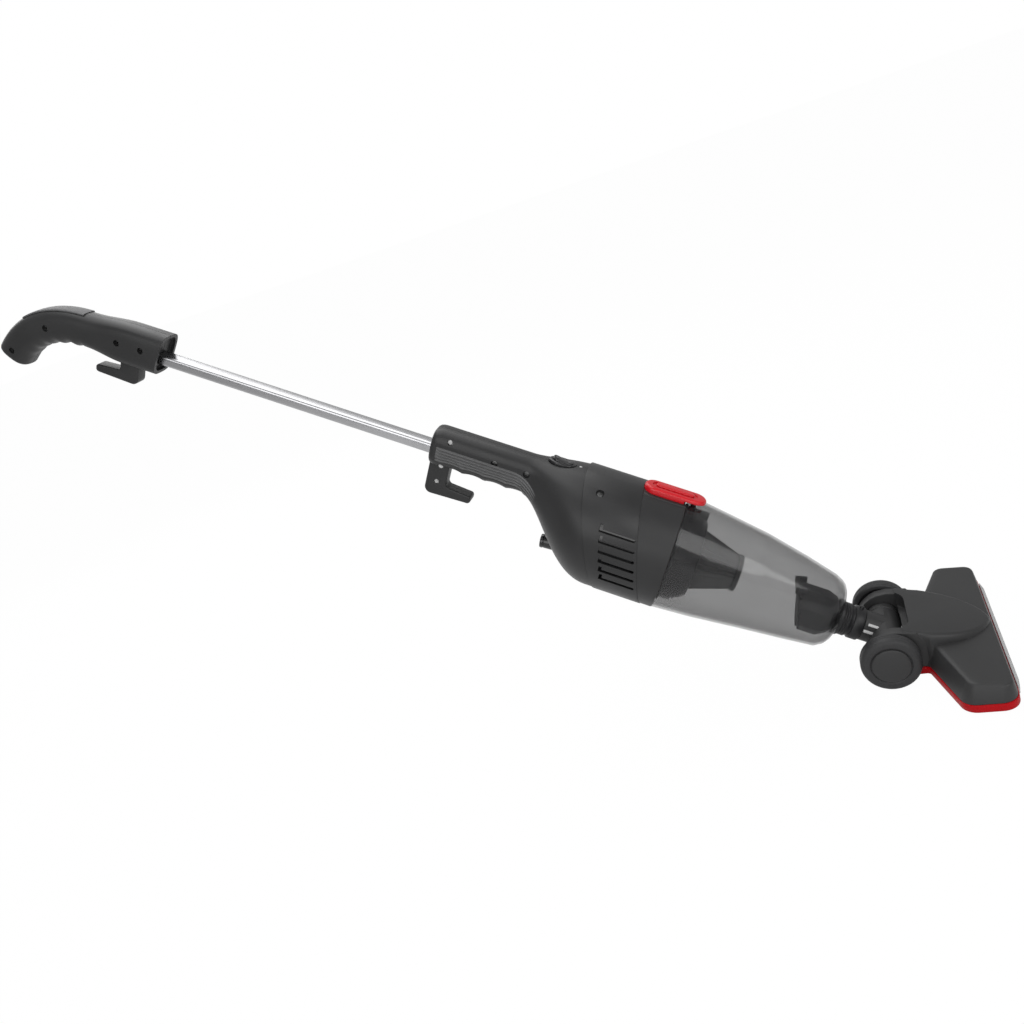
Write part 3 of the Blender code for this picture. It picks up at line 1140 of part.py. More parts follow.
# ------------------------------------------------------------------ filter
def make_filter():
    centre = (0.0, 0.0, FILTER_LINE)
    rear = CUP_REAR + SEAM_GAP
    front = rear + FILTER_RING_LENGTH
    r = FILTER_RING_RADIUS
    profile = [(r - 3.0 * MM, rear), (r, rear), (r, rear + 9.0 * MM), (r - 2.5 * MM, rear + 10.0 * MM),
               (r - 2.5 * MM, rear + 13.0 * MM), (r - 0.5 * MM, rear + 14.0 * MM), (r - 0.5 * MM, front - 5.0 * MM),
               (r - 6.0 * MM, front), (FILTER_BASE_RADIUS + RUN_GAP, front),
               (FILTER_BASE_RADIUS + RUN_GAP, front - 2.4 * MM), (r - 7.0 * MM, front - 3.0 * MM),
               (r - 3.0 * MM, front - 8.0 * MM)]
    turned("filter_ring", profile, BLACK, STICK, "X", centre, BIG_ROUND, True)

    inner, outer = r + SEAM_GAP, r + 2.6 * MM
    seal = [(inner, rear + 3.0 * MM), (outer, rear + 2.4 * MM), (outer, rear + 0.6 * MM), (inner, rear)]
    turned("filter_seal", seal, RUBBER, STICK, "X", centre, BIG_ROUND, True)

    def pleats(x, radius):
        ring = []
        for i in range(2 * FILTER_PLEATS):
            angle = FULL_TURN * i / (2 * FILTER_PLEATS)
            reach = radius if i % 2 == 0 else radius - PLEAT_DEPTH
            ring.append(Vector((x, reach * math.cos(angle), FILTER_LINE + reach * math.sin(angle))))
        return ring

    start = front - 2.2 * MM
    stop = start + FILTER_CONE_LENGTH
    bm = bmesh.new()
    rows = []
    for x, radius in ((start, FILTER_BASE_RADIUS), (stop, FILTER_TIP_RADIUS),
                      (stop, FILTER_TIP_RADIUS - 2 * PLEAT_WALL), (start, FILTER_BASE_RADIUS - 2 * PLEAT_WALL)):
        rows.append([bm.verts.new(p) for p in pleats(x, radius)])
    for near, far in zip(rows, rows[1:] + rows[:1]):
        for i in range(len(near)):
            j = (i + 1) % len(near)
            bm.faces.new((near[i], near[j], far[j], far[i]))
    from_bmesh("filter_cone", bm, FILTER_CLOTH, STICK)
    cap = FILTER_TIP_RADIUS + 1.0 * MM
    base = stop + SEAM_GAP
    profile = [(0.0, base + END_CAP_THICKNESS), (cap - 1.2 * MM, base + END_CAP_THICKNESS),
               (cap, base + END_CAP_THICKNESS - 1.2 * MM), (cap, base + 1.0 * MM), (cap - 1.0 * MM, base), (0.0, base)]
    turned("filter_end_cap", profile, BLACK, STICK, "X", centre, ROUND)


# ------------------------------------------------------------------ neck and knuckle
NECK_FRONT = -STUB_LENGTH - RUN_GAP
COLLAR_REAR = CUP_FRONT + SEAM_GAP


def make_neck():
    spigot_rear = CUP_FRONT - NECK_SPIGOT
    spigot = INLET_RADIUS - SEAM_GAP
    ring_x = CUP_FRONT - 9.0 * MM
    groove = 2 * O_RING_RADIUS + 0.4 * MM
    floor = spigot - 2 * O_RING_RADIUS - SEAM_GAP
    outside = [(spigot - 1.0 * MM, spigot_rear), (spigot, spigot_rear + 1.0 * MM), (spigot, ring_x - groove / 2),
               (floor, ring_x - groove / 2), (floor, ring_x + groove / 2),
               (spigot, ring_x + groove / 2), (spigot, COLLAR_REAR), (NECK_COLLAR, COLLAR_REAR),
               (NECK_COLLAR, COLLAR_REAR + 4.5 * MM), (NECK_RADIUS, COLLAR_REAR + 5.5 * MM),
               (NECK_RADIUS, NECK_FRONT - 12.0 * MM), (NECK_RADIUS - 1.0 * MM, NECK_FRONT - 11.4 * MM),
               (NECK_RADIUS - 1.0 * MM, NECK_FRONT - 9.6 * MM), (NECK_RADIUS + 0.8 * MM, NECK_FRONT - 9.0 * MM),
               (NECK_RADIUS + 0.8 * MM, NECK_FRONT - 1.0 * MM), (NECK_RADIUS, NECK_FRONT)]
    profile = [(NECK_BORE, spigot_rear)] + outside + [(NECK_BORE, NECK_FRONT)]
    neck = turned("neck_tube", profile[::-1], CHARCOAL, STICK, "X", (0.0, 0.0, 0.0), ROUND, True)
    x = NECK_FRONT - 5.0 * MM
    join(neck, cylinder("neck_peg", 2.4 * MM, (x, 0.0, NECK_RADIUS - 2.0 * MM), (x, 0.0, NECK_RADIUS + 3.4 * MM),
                        None, STICK, 12, 1.8 * MM))
    ring = []
    middle = spigot - O_RING_RADIUS
    for i in range(6):
        angle = -FULL_TURN * i / 6
        ring.append((middle + O_RING_RADIUS * math.cos(angle), ring_x + O_RING_RADIUS * math.sin(angle)))
    turned("neck_o_ring", ring, RUBBER, STICK, "X", (0.0, 0.0, 0.0), ROUND, True)


def make_knuckle():
    """Hollow drum on the axle with a stub that turns in the neck tube."""
    drum = cylinder("swivel_knuckle", BARREL_RADIUS, (0.0, -BARREL_HALF, 0.0), (0.0, BARREL_HALF, 0.0),
                    CHARCOAL, STICK, ROUND)
    stub = cylinder("knuckle_stub", NECK_RADIUS - 0.8 * MM, (-STUB_LENGTH, 0.0, 0.0), (0.0, 0.0, 0.0), None, STICK, ROUND)
    spigot = cylinder("knuckle_spigot", NECK_BORE - SEAM_GAP, (-STUB_LENGTH - 10.0 * MM, 0.0, 0.0), (0.0, 0.0, 0.0),
                      None, STICK, ROUND)
    inside = cylinder("knuckle_inside", BARREL_RADIUS - BARREL_WALL, (0.0, -BARREL_HALF + 3.0 * MM, 0.0),
                      (0.0, BARREL_HALF - 3.0 * MM, 0.0), None, STICK, ROUND)
    bore = cylinder("knuckle_bore", NECK_BORE - SEAM_GAP - 1.8 * MM, (-STUB_LENGTH - 0.02, 0.0, 0.0), (0.0, 0.0, 0.0),
                    None, STICK, 24)
    window = box("knuckle_window", (0.004, -20.0 * MM, -3.0 * MM), (0.03, 20.0 * MM, 9.0 * MM), None, STICK)
    axle_hole = cylinder("knuckle_axle_hole", AXLE_RADIUS + SEAM_GAP, (0.0, -0.05, 0.0), (0.0, 0.05, 0.0),
                         None, STICK, 16)
    join(drum, stub, spigot)
    cut(drum, inside, bore, window, axle_hole)
    for i, z in enumerate((-6.0 * MM, 1.0 * MM)):
        rib = box("knuckle_rib_%d" % i, (-STUB_LENGTH + 2.0 * MM, -BARREL_RADIUS - 2.2 * MM, z - 1.2 * MM),
                  (-4.0 * MM, -NECK_RADIUS + 3.6 * MM, z + 1.2 * MM), None, STICK)
        join(drum, rib)
    wheel_outer = WHEEL_INNER + WHEEL_WIDTH
    cylinder("wheel_axle", AXLE_RADIUS, (0.0, -wheel_outer + 1.0 * MM, 0.0), (0.0, wheel_outer - 1.0 * MM, 0.0),
             STEEL, STICK, 20)


def make_wheels():
    r = WHEEL_RADIUS
    inner, outer = WHEEL_INNER, WHEEL_INNER + WHEEL_WIDTH
    bore = AXLE_RADIUS + SEAM_GAP
    hub = 8.0 * MM
    web = outer - 1.0 * MM - WHEEL_WEB
    profile = [(bore, outer - 1.0 * MM), (HUB_CAP_RADIUS + 0.8 * MM, outer - 1.0 * MM),
               (HUB_CAP_RADIUS + 1.6 * MM, outer), (r - 3.0 * MM, outer), (r - 0.8 * MM, outer - 1.6 * MM),
               (r, outer - 4.0 * MM), (r, inner + 4.0 * MM), (r - 1.0 * MM, inner), (r - WHEEL_RIM, inner),
               (r - WHEEL_RIM, web), (hub, web), (hub - 0.6 * MM, inner + 1.0 * MM), (bore, inner + 1.0 * MM)]
    cap_base = outer - 1.0 * MM + SEAM_GAP
    cap = [(0.0, cap_base + HUB_CAP_DOME)]
    for share in (0.35, 0.65, 0.88):
        cap.append((HUB_CAP_RADIUS * share, cap_base + 1.0 * MM + (HUB_CAP_DOME - 1.0 * MM) * (1.0 - share**2.4)))
    cap += [(HUB_CAP_RADIUS, cap_base + 1.0 * MM), (HUB_CAP_RADIUS, cap_base), (0.0, cap_base)]
    for side_name, axis in (("left", "Y"), ("right", "-Y")):
        turned("wheel_" + side_name, profile, BLACK, STICK, axis, (0.0, 0.0, 0.0), 24, True)
        turned("hub_cap_" + side_name, cap, CHARCOAL, STICK, axis, (0.0, 0.0, 0.0), ROUND)


# ------------------------------------------------------------------ floor head
FLOOR = -WHEEL_RADIUS
BASE_LOW = FLOOR + BASE_CLEARANCE
BASE_HIGH = BASE_LOW + BASE_RIM
SHELL_LOW = BASE_HIGH + SEAM_GAP
WHEEL_CLEAR = WHEEL_RADIUS + 4.5 * MM


def mirrored(half):
    """Close an outline given for +Y, running from the rear middle to the front middle."""
    return [(x, y, r) for x, y, r in half] + [(x, -y, r) for x, y, r in reversed(half)]


def inset_corners(corners, inset):
    """Move each edge of a polygon in by inset; convex corner radii shrink, hollow ones grow."""
    points = [Vector(c[:2]) for c in corners]
    count = len(points)
    area = sum(points[i - 1].cross(points[i]) for i in range(count))
    turn = math.copysign(1.0, area)
    moved = []
    for i in range(count):
        before = (points[i] - points[i - 1]).normalized()
        after = (points[(i + 1) % count] - points[i]).normalized()
        normal = Vector((-before.y, before.x)) * turn
        bisector = (normal + Vector((-after.y, after.x)) * turn).normalized()
        point = points[i] + bisector * (inset / bisector.dot(normal))
        convex = before.cross(after) * turn > 0.0
        radius = corners[i][2] + (-inset if convex else inset)
        moved.append((point.x, point.y, max(radius, 0.4 * MM)))
    return moved


def wing_outline(inset):
    """Plan of the head, with every edge moved in by inset."""
    w = HEAD_HALF_WIDTH
    half = [(HEAD_REAR, YOKE_OUTER - 0.6 * MM, 1.0 * MM), (WHEEL_CLEAR, YOKE_OUTER, 5.0 * MM),
            (WHEEL_CLEAR + 20.5 * MM, w - 3.0 * MM, 14.0 * MM), (HEAD_FRONT - 4.0 * MM, w, 8.0 * MM),
            (HEAD_FRONT, w - 13.0 * MM, 9.0 * MM)]
    slip = Vector((FRONT_SLIP * max(inset, 0.0), 0.0))
    return [p + slip for p in rounded(inset_corners(mirrored(half), inset), 1.0 * MM, 2)]


def wing_top(x, drop=0.0):
    share = (x - HEAD_REAR) / (HEAD_FRONT - HEAD_REAR)
    return WING_REAR_TOP + share * (WING_FRONT_TOP - WING_REAR_TOP) - drop


def dome_outline(grow, rear):
    """Plan of the raised duct: wide at the yoke, with a blunt point at the front edge."""
    tip = HEAD_FRONT - 1.5 * MM + 0.5 * grow
    half_points = []
    steps = 9
    for i in range(steps + 1):
        share = i / steps
        x = rear + (tip - rear) * share
        y = (DOME_HALF_WIDTH + grow) * (1.0 - share**2.6) ** 0.62 if share < 1 else 0.0
        if x < WHEEL_CLEAR + 2.0 * MM:
            y = min(y, DOME_NECK + 0.5 * grow)
        half_points.append(Vector((x, y)))
    return half_points + [Vector((p.x, -p.y)) for p in reversed(half_points[:-1])]


def dome_top(x, drop=0.0):
    share = (x - HEAD_REAR) / (HEAD_FRONT - HEAD_REAR)
    return DOME_REAR_TOP + share * (DOME_FRONT_TOP - DOME_REAR_TOP) - drop


def raised(points, height):
    """Lift a plan outline to 3D; height is a number or a function of x."""
    return [Vector((p.x, p.y, height(p.x) if callable(height) else height)) for p in points]


def make_head_shell():
    shell = loft("head_top_shell", [
        raised(wing_outline(0.0), SHELL_LOW),
        raised(wing_outline(0.5 * MM), SHELL_LOW + 3.0 * MM),
        raised(wing_outline(4.6 * MM), lambda x: wing_top(x, 1.6 * MM)),
        raised(wing_outline(6.2 * MM), lambda x: wing_top(x, 0.4 * MM)),
        raised(wing_outline(8.5 * MM), wing_top)], CHARCOAL, LEVEL)
    rear = HEAD_REAR - 2.0 * MM
    dome = loft("head_dome", [
        raised(dome_outline(0.0, rear), SHELL_LOW + 2.0 * MM),
        raised(dome_outline(-1.0 * MM, rear), lambda x: dome_top(x, 6.0 * MM)),
        raised(dome_outline(-3.6 * MM, rear), lambda x: dome_top(x, 1.4 * MM)),
        raised(dome_outline(-6.5 * MM, rear), dome_top)], None, LEVEL)
    open_room = box("open_room", (-0.05, -YOKE_INNER - SEAM_GAP, DRUM_ROOM_LOW),
                    (DRUM_ROOM_FRONT, YOKE_INNER + SEAM_GAP, 0.05), None, LEVEL)
    cut(dome, open_room)
    join(shell, dome)
    for side_name, side in SIDES:
        low, high = sorted((side * YOKE_INNER, side * YOKE_OUTER))
        arm_points = [(x * MM, z * MM) for x, z in YOKE_OUTLINE]
        arm_points += [(10.0 * MM, SHELL_LOW), (33.0 * MM, SHELL_LOW), (33.0 * MM, DRUM_ROOM_LOW)]
        arm = plate("yoke_arm_" + side_name, [arm_points], low, high, None, LEVEL, "Y")
        join(shell, arm)
    wing_room = loft("wing_room", [
        raised(wing_outline(HEAD_WALL), SHELL_LOW - CUTTER_MARGIN),
        raised(wing_outline(HEAD_WALL + 0.5 * MM), SHELL_LOW + 3.0 * MM),
        raised(wing_outline(HEAD_WALL + 5.0 * MM), lambda x: wing_top(x, 1.0 * MM + HEAD_WALL)),
        raised(wing_outline(HEAD_WALL + 6.6 * MM), lambda x: wing_top(x, HEAD_WALL))], None, LEVEL)
    rear = DRUM_ROOM_FRONT + HEAD_WALL
    dome_room = loft("dome_room", [
        raised(dome_outline(-HEAD_WALL - 3.0 * MM, rear), SHELL_LOW - CUTTER_MARGIN),
        raised(dome_outline(-HEAD_WALL - 3.0 * MM, rear), lambda x: dome_top(x, 6.0 * MM + 0.5 * HEAD_WALL)),
        raised(dome_outline(-HEAD_WALL - 8.0 * MM, rear), lambda x: dome_top(x, HEAD_WALL))], None, LEVEL)
    drum_room = cylinder("drum_room", BARREL_RADIUS + RUN_GAP, (0.0, -YOKE_INNER, 0.0), (0.0, YOKE_INNER, 0.0),
                         None, LEVEL, BIG_ROUND)
    neck_slot = box("neck_slot", (-0.04, -17.5 * MM, -BARREL_RADIUS), (BARREL_RADIUS + 0.8 * MM, 17.5 * MM, 0.04),
                    None, LEVEL)
    air_port = box("air_port", (0.0, -19.0 * MM, -9.0 * MM), (HEAD_REAR + 12.0 * MM, 19.0 * MM, 1.0 * MM), None, LEVEL)
    axle_hole = cylinder("yoke_axle_hole", AXLE_RADIUS + SEAM_GAP, (0.0, -0.05, 0.0), (0.0, 0.05, 0.0),
                         None, LEVEL, 20)
    cut(shell, wing_room, dome_room, drum_room, neck_slot, air_port, axle_hole)


def make_base():
    edge = [Vector(p) for p in wing_outline(-EDGE_PROUD)]
    slot_x = AXLE_TO_FOOT - STRIP_SPACING / 2.0
    slot = [Vector((p.x, p.y)) for p in stadium(0.0, SLOT_LENGTH, SLOT_WIDTH)]
    slot = [Vector((slot_x + p.y, p.x)) for p in slot]
    base = plate("head_base_plate", [edge, slot], BASE_LOW, BASE_HIGH, RED, LEVEL, "Z", 1.0 * MM)
    tray = plate("base_tray", [wing_outline(HEAD_WALL)], BASE_LOW + BASE_THICKNESS, BASE_HIGH + CUTTER_MARGIN,
                 None, LEVEL)
    cut(base, tray)
    for name, x in (("front_sole_strip", AXLE_TO_FOOT), ("rear_sole_strip", AXLE_TO_FOOT - STRIP_SPACING)):
        half = STRIP_HALF
        top = BASE_LOW + STRIP_GROOVE - SEAM_GAP
        step = 2.0 * half / STRIP_TEETH
        outline = [(-half, top)]
        for i in range(STRIP_TEETH):
            left = -half + step * i
            outline += [(left, FLOOR), (left + step * 0.72, FLOOR), (left + step * 0.8, FLOOR + 1.6 * MM),
                        (left + step * 0.92, FLOOR + 1.6 * MM)]
        outline += [(half, FLOOR + 1.6 * MM), (half, top)]
        outline = [p for k, p in enumerate(outline) if k == 0 or p != outline[k - 1]]
        plate(name, [outline], x - STRIP_THICKNESS / 2, x + STRIP_THICKNESS / 2, RUBBER, LEVEL, "X")
        groove = box(name + "_groove", (x - STRIP_THICKNESS / 2 - SEAM_GAP, -half - SEAM_GAP, BASE_LOW - 0.01),
                     (x + STRIP_THICKNESS / 2 + SEAM_GAP, half + SEAM_GAP, BASE_LOW + STRIP_GROOVE), None, LEVEL)
        cut(base, groove)
    bumper_low = BASE_LOW + 1.0 * MM
    bumper_rear = HEAD_FRONT + EDGE_PROUD + SEAM_GAP
    reach = HEAD_HALF_WIDTH - 19.0 * MM
    box("front_bumper", (bumper_rear, -reach, bumper_low),
        (bumper_rear + BUMPER_THICKNESS, reach, bumper_low + BUMPER_HEIGHT), PALE, LEVEL)
    screw_places = ((34.0 * MM, 26.0 * MM), (84.0 * MM, 70.0 * MM))
    number = 0
    for x, y in screw_places:
        for side in (1.0, -1.0):
            number += 1
            seat = cylinder("base_screw_seat_%d" % number, 3.6 * MM, (x, side * y, BASE_LOW - 0.01),
                            (x, side * y, BASE_LOW + 2.0 * MM), None, LEVEL, SMALL_ROUND)
            cut(base, seat)
            cylinder("base_screw_%d" % number, 3.2 * MM, (x, side * y, BASE_LOW + 0.3 * MM),
                     (x, side * y, BASE_LOW + 2.0 * MM - SEAM_GAP), STEEL, LEVEL, SMALL_ROUND)


make_pole()
make_handle()
make_rear_housing()
make_inserts()
make_casing()
make_bulkhead()
make_motor()
make_fan()
make_switch()
make_gland()
make_button()
make_latch()
make_cup()
make_duct()
make_filter()
make_neck()
make_knuckle()
make_wheels()
make_head_shell()
make_base()
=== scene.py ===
import json
import math

import bmesh
import bpy
from mathutils import Matrix, Vector


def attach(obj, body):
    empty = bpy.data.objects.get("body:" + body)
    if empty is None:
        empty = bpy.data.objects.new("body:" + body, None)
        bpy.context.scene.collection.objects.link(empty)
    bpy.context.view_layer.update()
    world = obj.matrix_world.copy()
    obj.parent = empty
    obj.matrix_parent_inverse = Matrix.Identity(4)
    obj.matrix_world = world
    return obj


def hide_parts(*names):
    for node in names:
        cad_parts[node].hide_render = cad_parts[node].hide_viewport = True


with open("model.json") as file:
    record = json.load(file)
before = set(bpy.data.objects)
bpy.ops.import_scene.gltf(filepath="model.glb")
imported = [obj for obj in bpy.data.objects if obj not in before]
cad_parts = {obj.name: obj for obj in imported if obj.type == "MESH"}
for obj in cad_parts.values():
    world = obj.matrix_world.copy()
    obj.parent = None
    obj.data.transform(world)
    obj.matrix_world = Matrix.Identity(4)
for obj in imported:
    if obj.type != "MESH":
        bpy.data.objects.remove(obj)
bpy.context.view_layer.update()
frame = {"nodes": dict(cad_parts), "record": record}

# %% [markdown]
# # Dressing a corded stick vacuum cleaner
#
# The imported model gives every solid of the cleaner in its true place: a hook handle on a
# bright pole, a hand unit with the motor and a smoky dust cup, a swivel neck, and a floor
# head on two wheels.  This file keeps those places and gives the machine its finish.
# The first thing a scene needs is a set of facts that everything else leans on, so the
# numbers of the machine's two working lines come first.

# %% The machine's two frames
MM = 0.001
AXLE = Vector((-74.0 * MM, 0.0, 26.5 * MM))
LEAN = math.radians(33.0)
ALONG_STICK = Matrix.Translation(AXLE) @ Matrix.Rotation(LEAN, 4, "Y")
ON_FLOOR = Matrix.Translation(AXLE)

# %% [markdown]
# ## The camera
#
# The photograph looks down on the right side of the machine from a little ahead of its
# middle, with the camera rolled so that the stick falls from left to right.  A camera can be
# aimed with a constraint, but a written matrix keeps the roll exact and easy to read.

# %% Camera at the photograph's viewing angle
CAMERA_PLACE = Vector((-0.0554, -0.832, 0.5414))
CAMERA_RIGHT = Vector((0.9131, 0.2471, -0.3242))
CAMERA_BACK = Vector((0.3539, -0.8753, 0.3296))
FOCAL_LENGTH = 33.4


def aim(obj, place, right, back):
    """Turn an object so that its own +X is right and its own +Z is back."""
    back = back.normalized()
    up = back.cross(right).normalized()
    right = up.cross(back)
    turn = Matrix((right, up, back)).transposed().to_4x4()
    obj.matrix_world = Matrix.Translation(place) @ turn


camera = bpy.data.objects.new("photo_camera", bpy.data.cameras.new("photo_camera"))
camera.data.lens = FOCAL_LENGTH
camera.data.sensor_width = 36.0
aim(camera, CAMERA_PLACE, CAMERA_RIGHT, CAMERA_BACK)
bpy.context.scene.collection.objects.link(camera)
bpy.context.scene.camera = camera
print("camera at", [round(v, 3) for v in camera.location])

# %% [markdown]
# ## Light, floor and surroundings
#
# Dark satin plastic shows its shape by the soft highlights along its upper edges, so the
# main lamp is a large soft box above and behind the machine.  A second one fills the near
# side, a third lights the floor head from the front, and a weak one behind rims the handle.

# %% Soft boxes
SOFT_BOXES = (
    # name, place, aims at, width, length, power
    ("top_box", (-0.45, 0.35, 1.55), (-0.42, 0.0, 0.15), 1.3, 2.0, 20.0),
    ("near_box", (-0.55, -1.9, 0.9), (-0.40, 0.0, 0.15), 1.8, 1.2, 17.0),
    ("head_box", (0.9, -0.9, 0.9), (-0.10, 0.0, 0.05), 1.0, 0.8, 9.0),
    ("rear_box", (-1.6, 0.9, 0.8), (-0.45, 0.0, 0.2), 1.0, 1.0, 6.0),
)
for name, place, target, width, length, power in SOFT_BOXES:
    lamp = bpy.data.lights.new(name, "AREA")
    lamp.shape = "RECTANGLE"
    lamp.size = width
    lamp.size_y = length
    lamp.energy = power
    lamp_object = bpy.data.objects.new(name, lamp)
    toward = Vector(place) - Vector(target)
    aim(lamp_object, Vector(place), Vector((0.0, 0.0, 1.0)).cross(toward), toward)
    bpy.context.scene.collection.objects.link(lamp_object)
print(len(SOFT_BOXES), "soft boxes")

# %% [markdown]
# Brightening the lamps until the background turns white would wash out the machine.  The
# floor and the world are instead plain white to the camera and through clear plastic, and
# about half as bright in a reflection, so that dark plastic stays dark.  A small share of
# the floor is left to the lamps and keeps a trace of the shadow.

# %% White world and pale floor
WORLD_LIGHT = 0.30
IN_REFLECTION = 0.35         # share of the white that glossy rays see
view = bpy.context.scene.view_settings
view.view_transform = "Standard"


def white_to_camera(tree, share):
    """A 0-1 factor: 1 for camera and clear-plastic rays, less for reflected ones."""
    path = tree.nodes.new("ShaderNodeLightPath")
    total = None
    for name, part in (("Is Camera Ray", 1.0), ("Is Transmission Ray", 1.0),
                       ("Is Glossy Ray", IN_REFLECTION)):
        scale = tree.nodes.new("ShaderNodeMath")
        scale.operation = "MULTIPLY"
        tree.links.new(path.outputs[name], scale.inputs[0])
        scale.inputs[1].default_value = part * share
        if total:
            add = tree.nodes.new("ShaderNodeMath")
            add.operation = "MAXIMUM"
            tree.links.new(total, add.inputs[0])
            tree.links.new(scale.outputs[0], add.inputs[1])
            scale = add
        total = scale.outputs[0]
    return total


world = bpy.data.worlds.new("pale_studio")
world.use_nodes = True
bpy.context.scene.world = world
sky = world.node_tree
lit = sky.nodes["Background"]
lit.inputs["Strength"].default_value = WORLD_LIGHT
white = sky.nodes.new("ShaderNodeBackground")
white.inputs["Strength"].default_value = 1.0
blend = sky.nodes.new("ShaderNodeMixShader")
for shader in (lit, white):
    shader.inputs["Color"].default_value = (1.0, 1.0, 1.0, 1.0)
sky.links.new(white_to_camera(sky, 1.0), blend.inputs[0])
sky.links.new(lit.outputs[0], blend.inputs[1])
sky.links.new(white.outputs[0], blend.inputs[2])
sky.links.new(blend.outputs[0], sky.nodes["World Output"].inputs["Surface"])

FLOOR_HALF = 12.0
FLOOR_GLOW = 0.985           # share of the floor that stays white under the shadow
floor_bm = bmesh.new()
bmesh.ops.create_grid(floor_bm, x_segments=1, y_segments=1, size=FLOOR_HALF)
floor_mesh = bpy.data.meshes.new("studio_floor")
floor_bm.to_mesh(floor_mesh)
floor_bm.free()
floor = bpy.data.objects.new("studio_floor", floor_mesh)
bpy.context.scene.collection.objects.link(floor)
paint = bpy.data.materials.new("studio_floor_white")
paint.use_nodes = True
floor_tree = paint.node_tree
matt = floor_tree.nodes["Principled BSDF"]
matt.inputs["Base Color"].default_value = (0.86, 0.86, 0.86, 1.0)
matt.inputs["Roughness"].default_value = 0.9
glow = floor_tree.nodes.new("ShaderNodeEmission")
mix = floor_tree.nodes.new("ShaderNodeMixShader")
floor_tree.links.new(white_to_camera(floor_tree, FLOOR_GLOW), mix.inputs[0])
floor_tree.links.new(matt.outputs[0], mix.inputs[1])
floor_tree.links.new(glow.outputs[0], mix.inputs[2])
floor_tree.links.new(mix.outputs[0], floor_tree.nodes["Material Output"].inputs["Surface"])
floor_mesh.materials.append(paint)
print("floor", 2 * FLOOR_HALF, "m wide")

# %% [markdown]
# ## Writing shader arithmetic as Python
#
# A finish is a small network of nodes.  Placing each Math node by hand hides the idea, so
# one class wraps a socket and lets Python's own operators add the nodes: "0.4 + 0.1 * grain"
# then reads like what it means.

# %% A shader value that understands + - *
class Value:
    """A number in a node tree; an operator on it adds a Math node."""

    def __init__(self, tree, socket):
        self.tree = tree
        self.socket = socket

    def math(self, operation, first, second):
        node = self.tree.nodes.new("ShaderNodeMath")
        node.operation = operation
        for place, item in zip(node.inputs, (first, second)):
            if isinstance(item, Value):
                self.tree.links.new(item.socket, place)
            else:
                place.default_value = item
        return Value(self.tree, node.outputs[0])

    def __add__(self, other):
        return self.math("ADD", self, other)

    def __sub__(self, other):
        return self.math("SUBTRACT", self, other)

    def __mul__(self, other):
        return self.math("MULTIPLY", self, other)

    __radd__ = __add__
    __rmul__ = __mul__


# %% [markdown]
# A second class holds one material.  Its methods add the nodes that several finishes share:
# cloudy noise, a smooth threshold, a mix of two colours and a bump.

# %% One material and the nodes that feed it
class Finish:
    """A material with a Principled shader, and short ways to add nodes to it."""

    def __init__(self, name, colour, roughness, **constants):
        self.material = bpy.data.materials.new(name)
        self.material.use_nodes = True
        self.tree = self.material.node_tree
        self.shader = self.tree.nodes["Principled BSDF"]
        self.colour = (*colour, 1.0)
        self.set("Base Color", self.colour)
        self.set("Roughness", roughness)
        for socket, number in constants.items():
            self.set(socket.replace("_", " "), number)
        self.place = self.node("ShaderNodeTexCoord", {}, {}).outputs["Object"]

    def set(self, socket, value):
        self.feed(self.shader.inputs[socket], value)

    def feed(self, socket, value):
        if isinstance(value, Value):
            self.tree.links.new(value.socket, socket)
        elif isinstance(value, bpy.types.NodeSocket):
            self.tree.links.new(value, socket)
        else:
            socket.default_value = value

    def node(self, kind, settings, values):
        made = self.tree.nodes.new(kind)
        for name, value in settings.items():
            setattr(made, name, value)
        for name, value in values.items():
            self.feed(made.inputs[name], value)
        return made

    def stretched(self, scale):
        """Object coordinates turned to lie along the stick and stretched along it."""
        return self.node("ShaderNodeMapping", {}, {
            "Vector": self.place, "Rotation": (0.0, -LEAN, 0.0), "Scale": scale}).outputs[0]

    def noise(self, size, detail=2.0, place=None):
        """Cloudy noise whose features are about size metres across, from 0 to 1."""
        made = self.node("ShaderNodeTexNoise", {}, {
            "Vector": place or self.place, "Scale": 1.0 / size, "Detail": detail})
        return Value(self.tree, made.outputs["Fac"])

    def between(self, value, low, high):
        """0 below low, 1 above high, and smooth in between."""
        made = self.node("ShaderNodeMapRange", {"interpolation_type": "SMOOTHSTEP"}, {
            "Value": value, "From Min": low, "From Max": high})
        return Value(self.tree, made.outputs["Result"])

    def mixed(self, factor, first, second):
        made = self.node("ShaderNodeMix", {"data_type": "RGBA"}, {})
        for index, item in ((0, factor), (6, first), (7, second)):
            self.feed(made.inputs[index], item)
        return made.outputs[2]

    def relief(self, height, depth, strength=1.0, rounded=0.0):
        """A bump of the given depth in metres, over edges rounded in the shading."""
        values = {"Height": height, "Distance": depth, "Strength": strength}
        if rounded:
            values["Normal"] = self.node("ShaderNodeBevel", {"samples": 4},
                                         {"Radius": rounded}).outputs[0]
        self.set("Normal", self.node("ShaderNodeBump", {}, values).outputs[0])


# %% [markdown]
# ## Finishes
#
# Moulded plastic is never one flat colour.  Its tool leaves a fine spark-eroded grain, hands
# polish some places, and dust settles in faint clouds.  One function gives all of the
# machine's plastics those three traits and takes their colour, shine and grain.

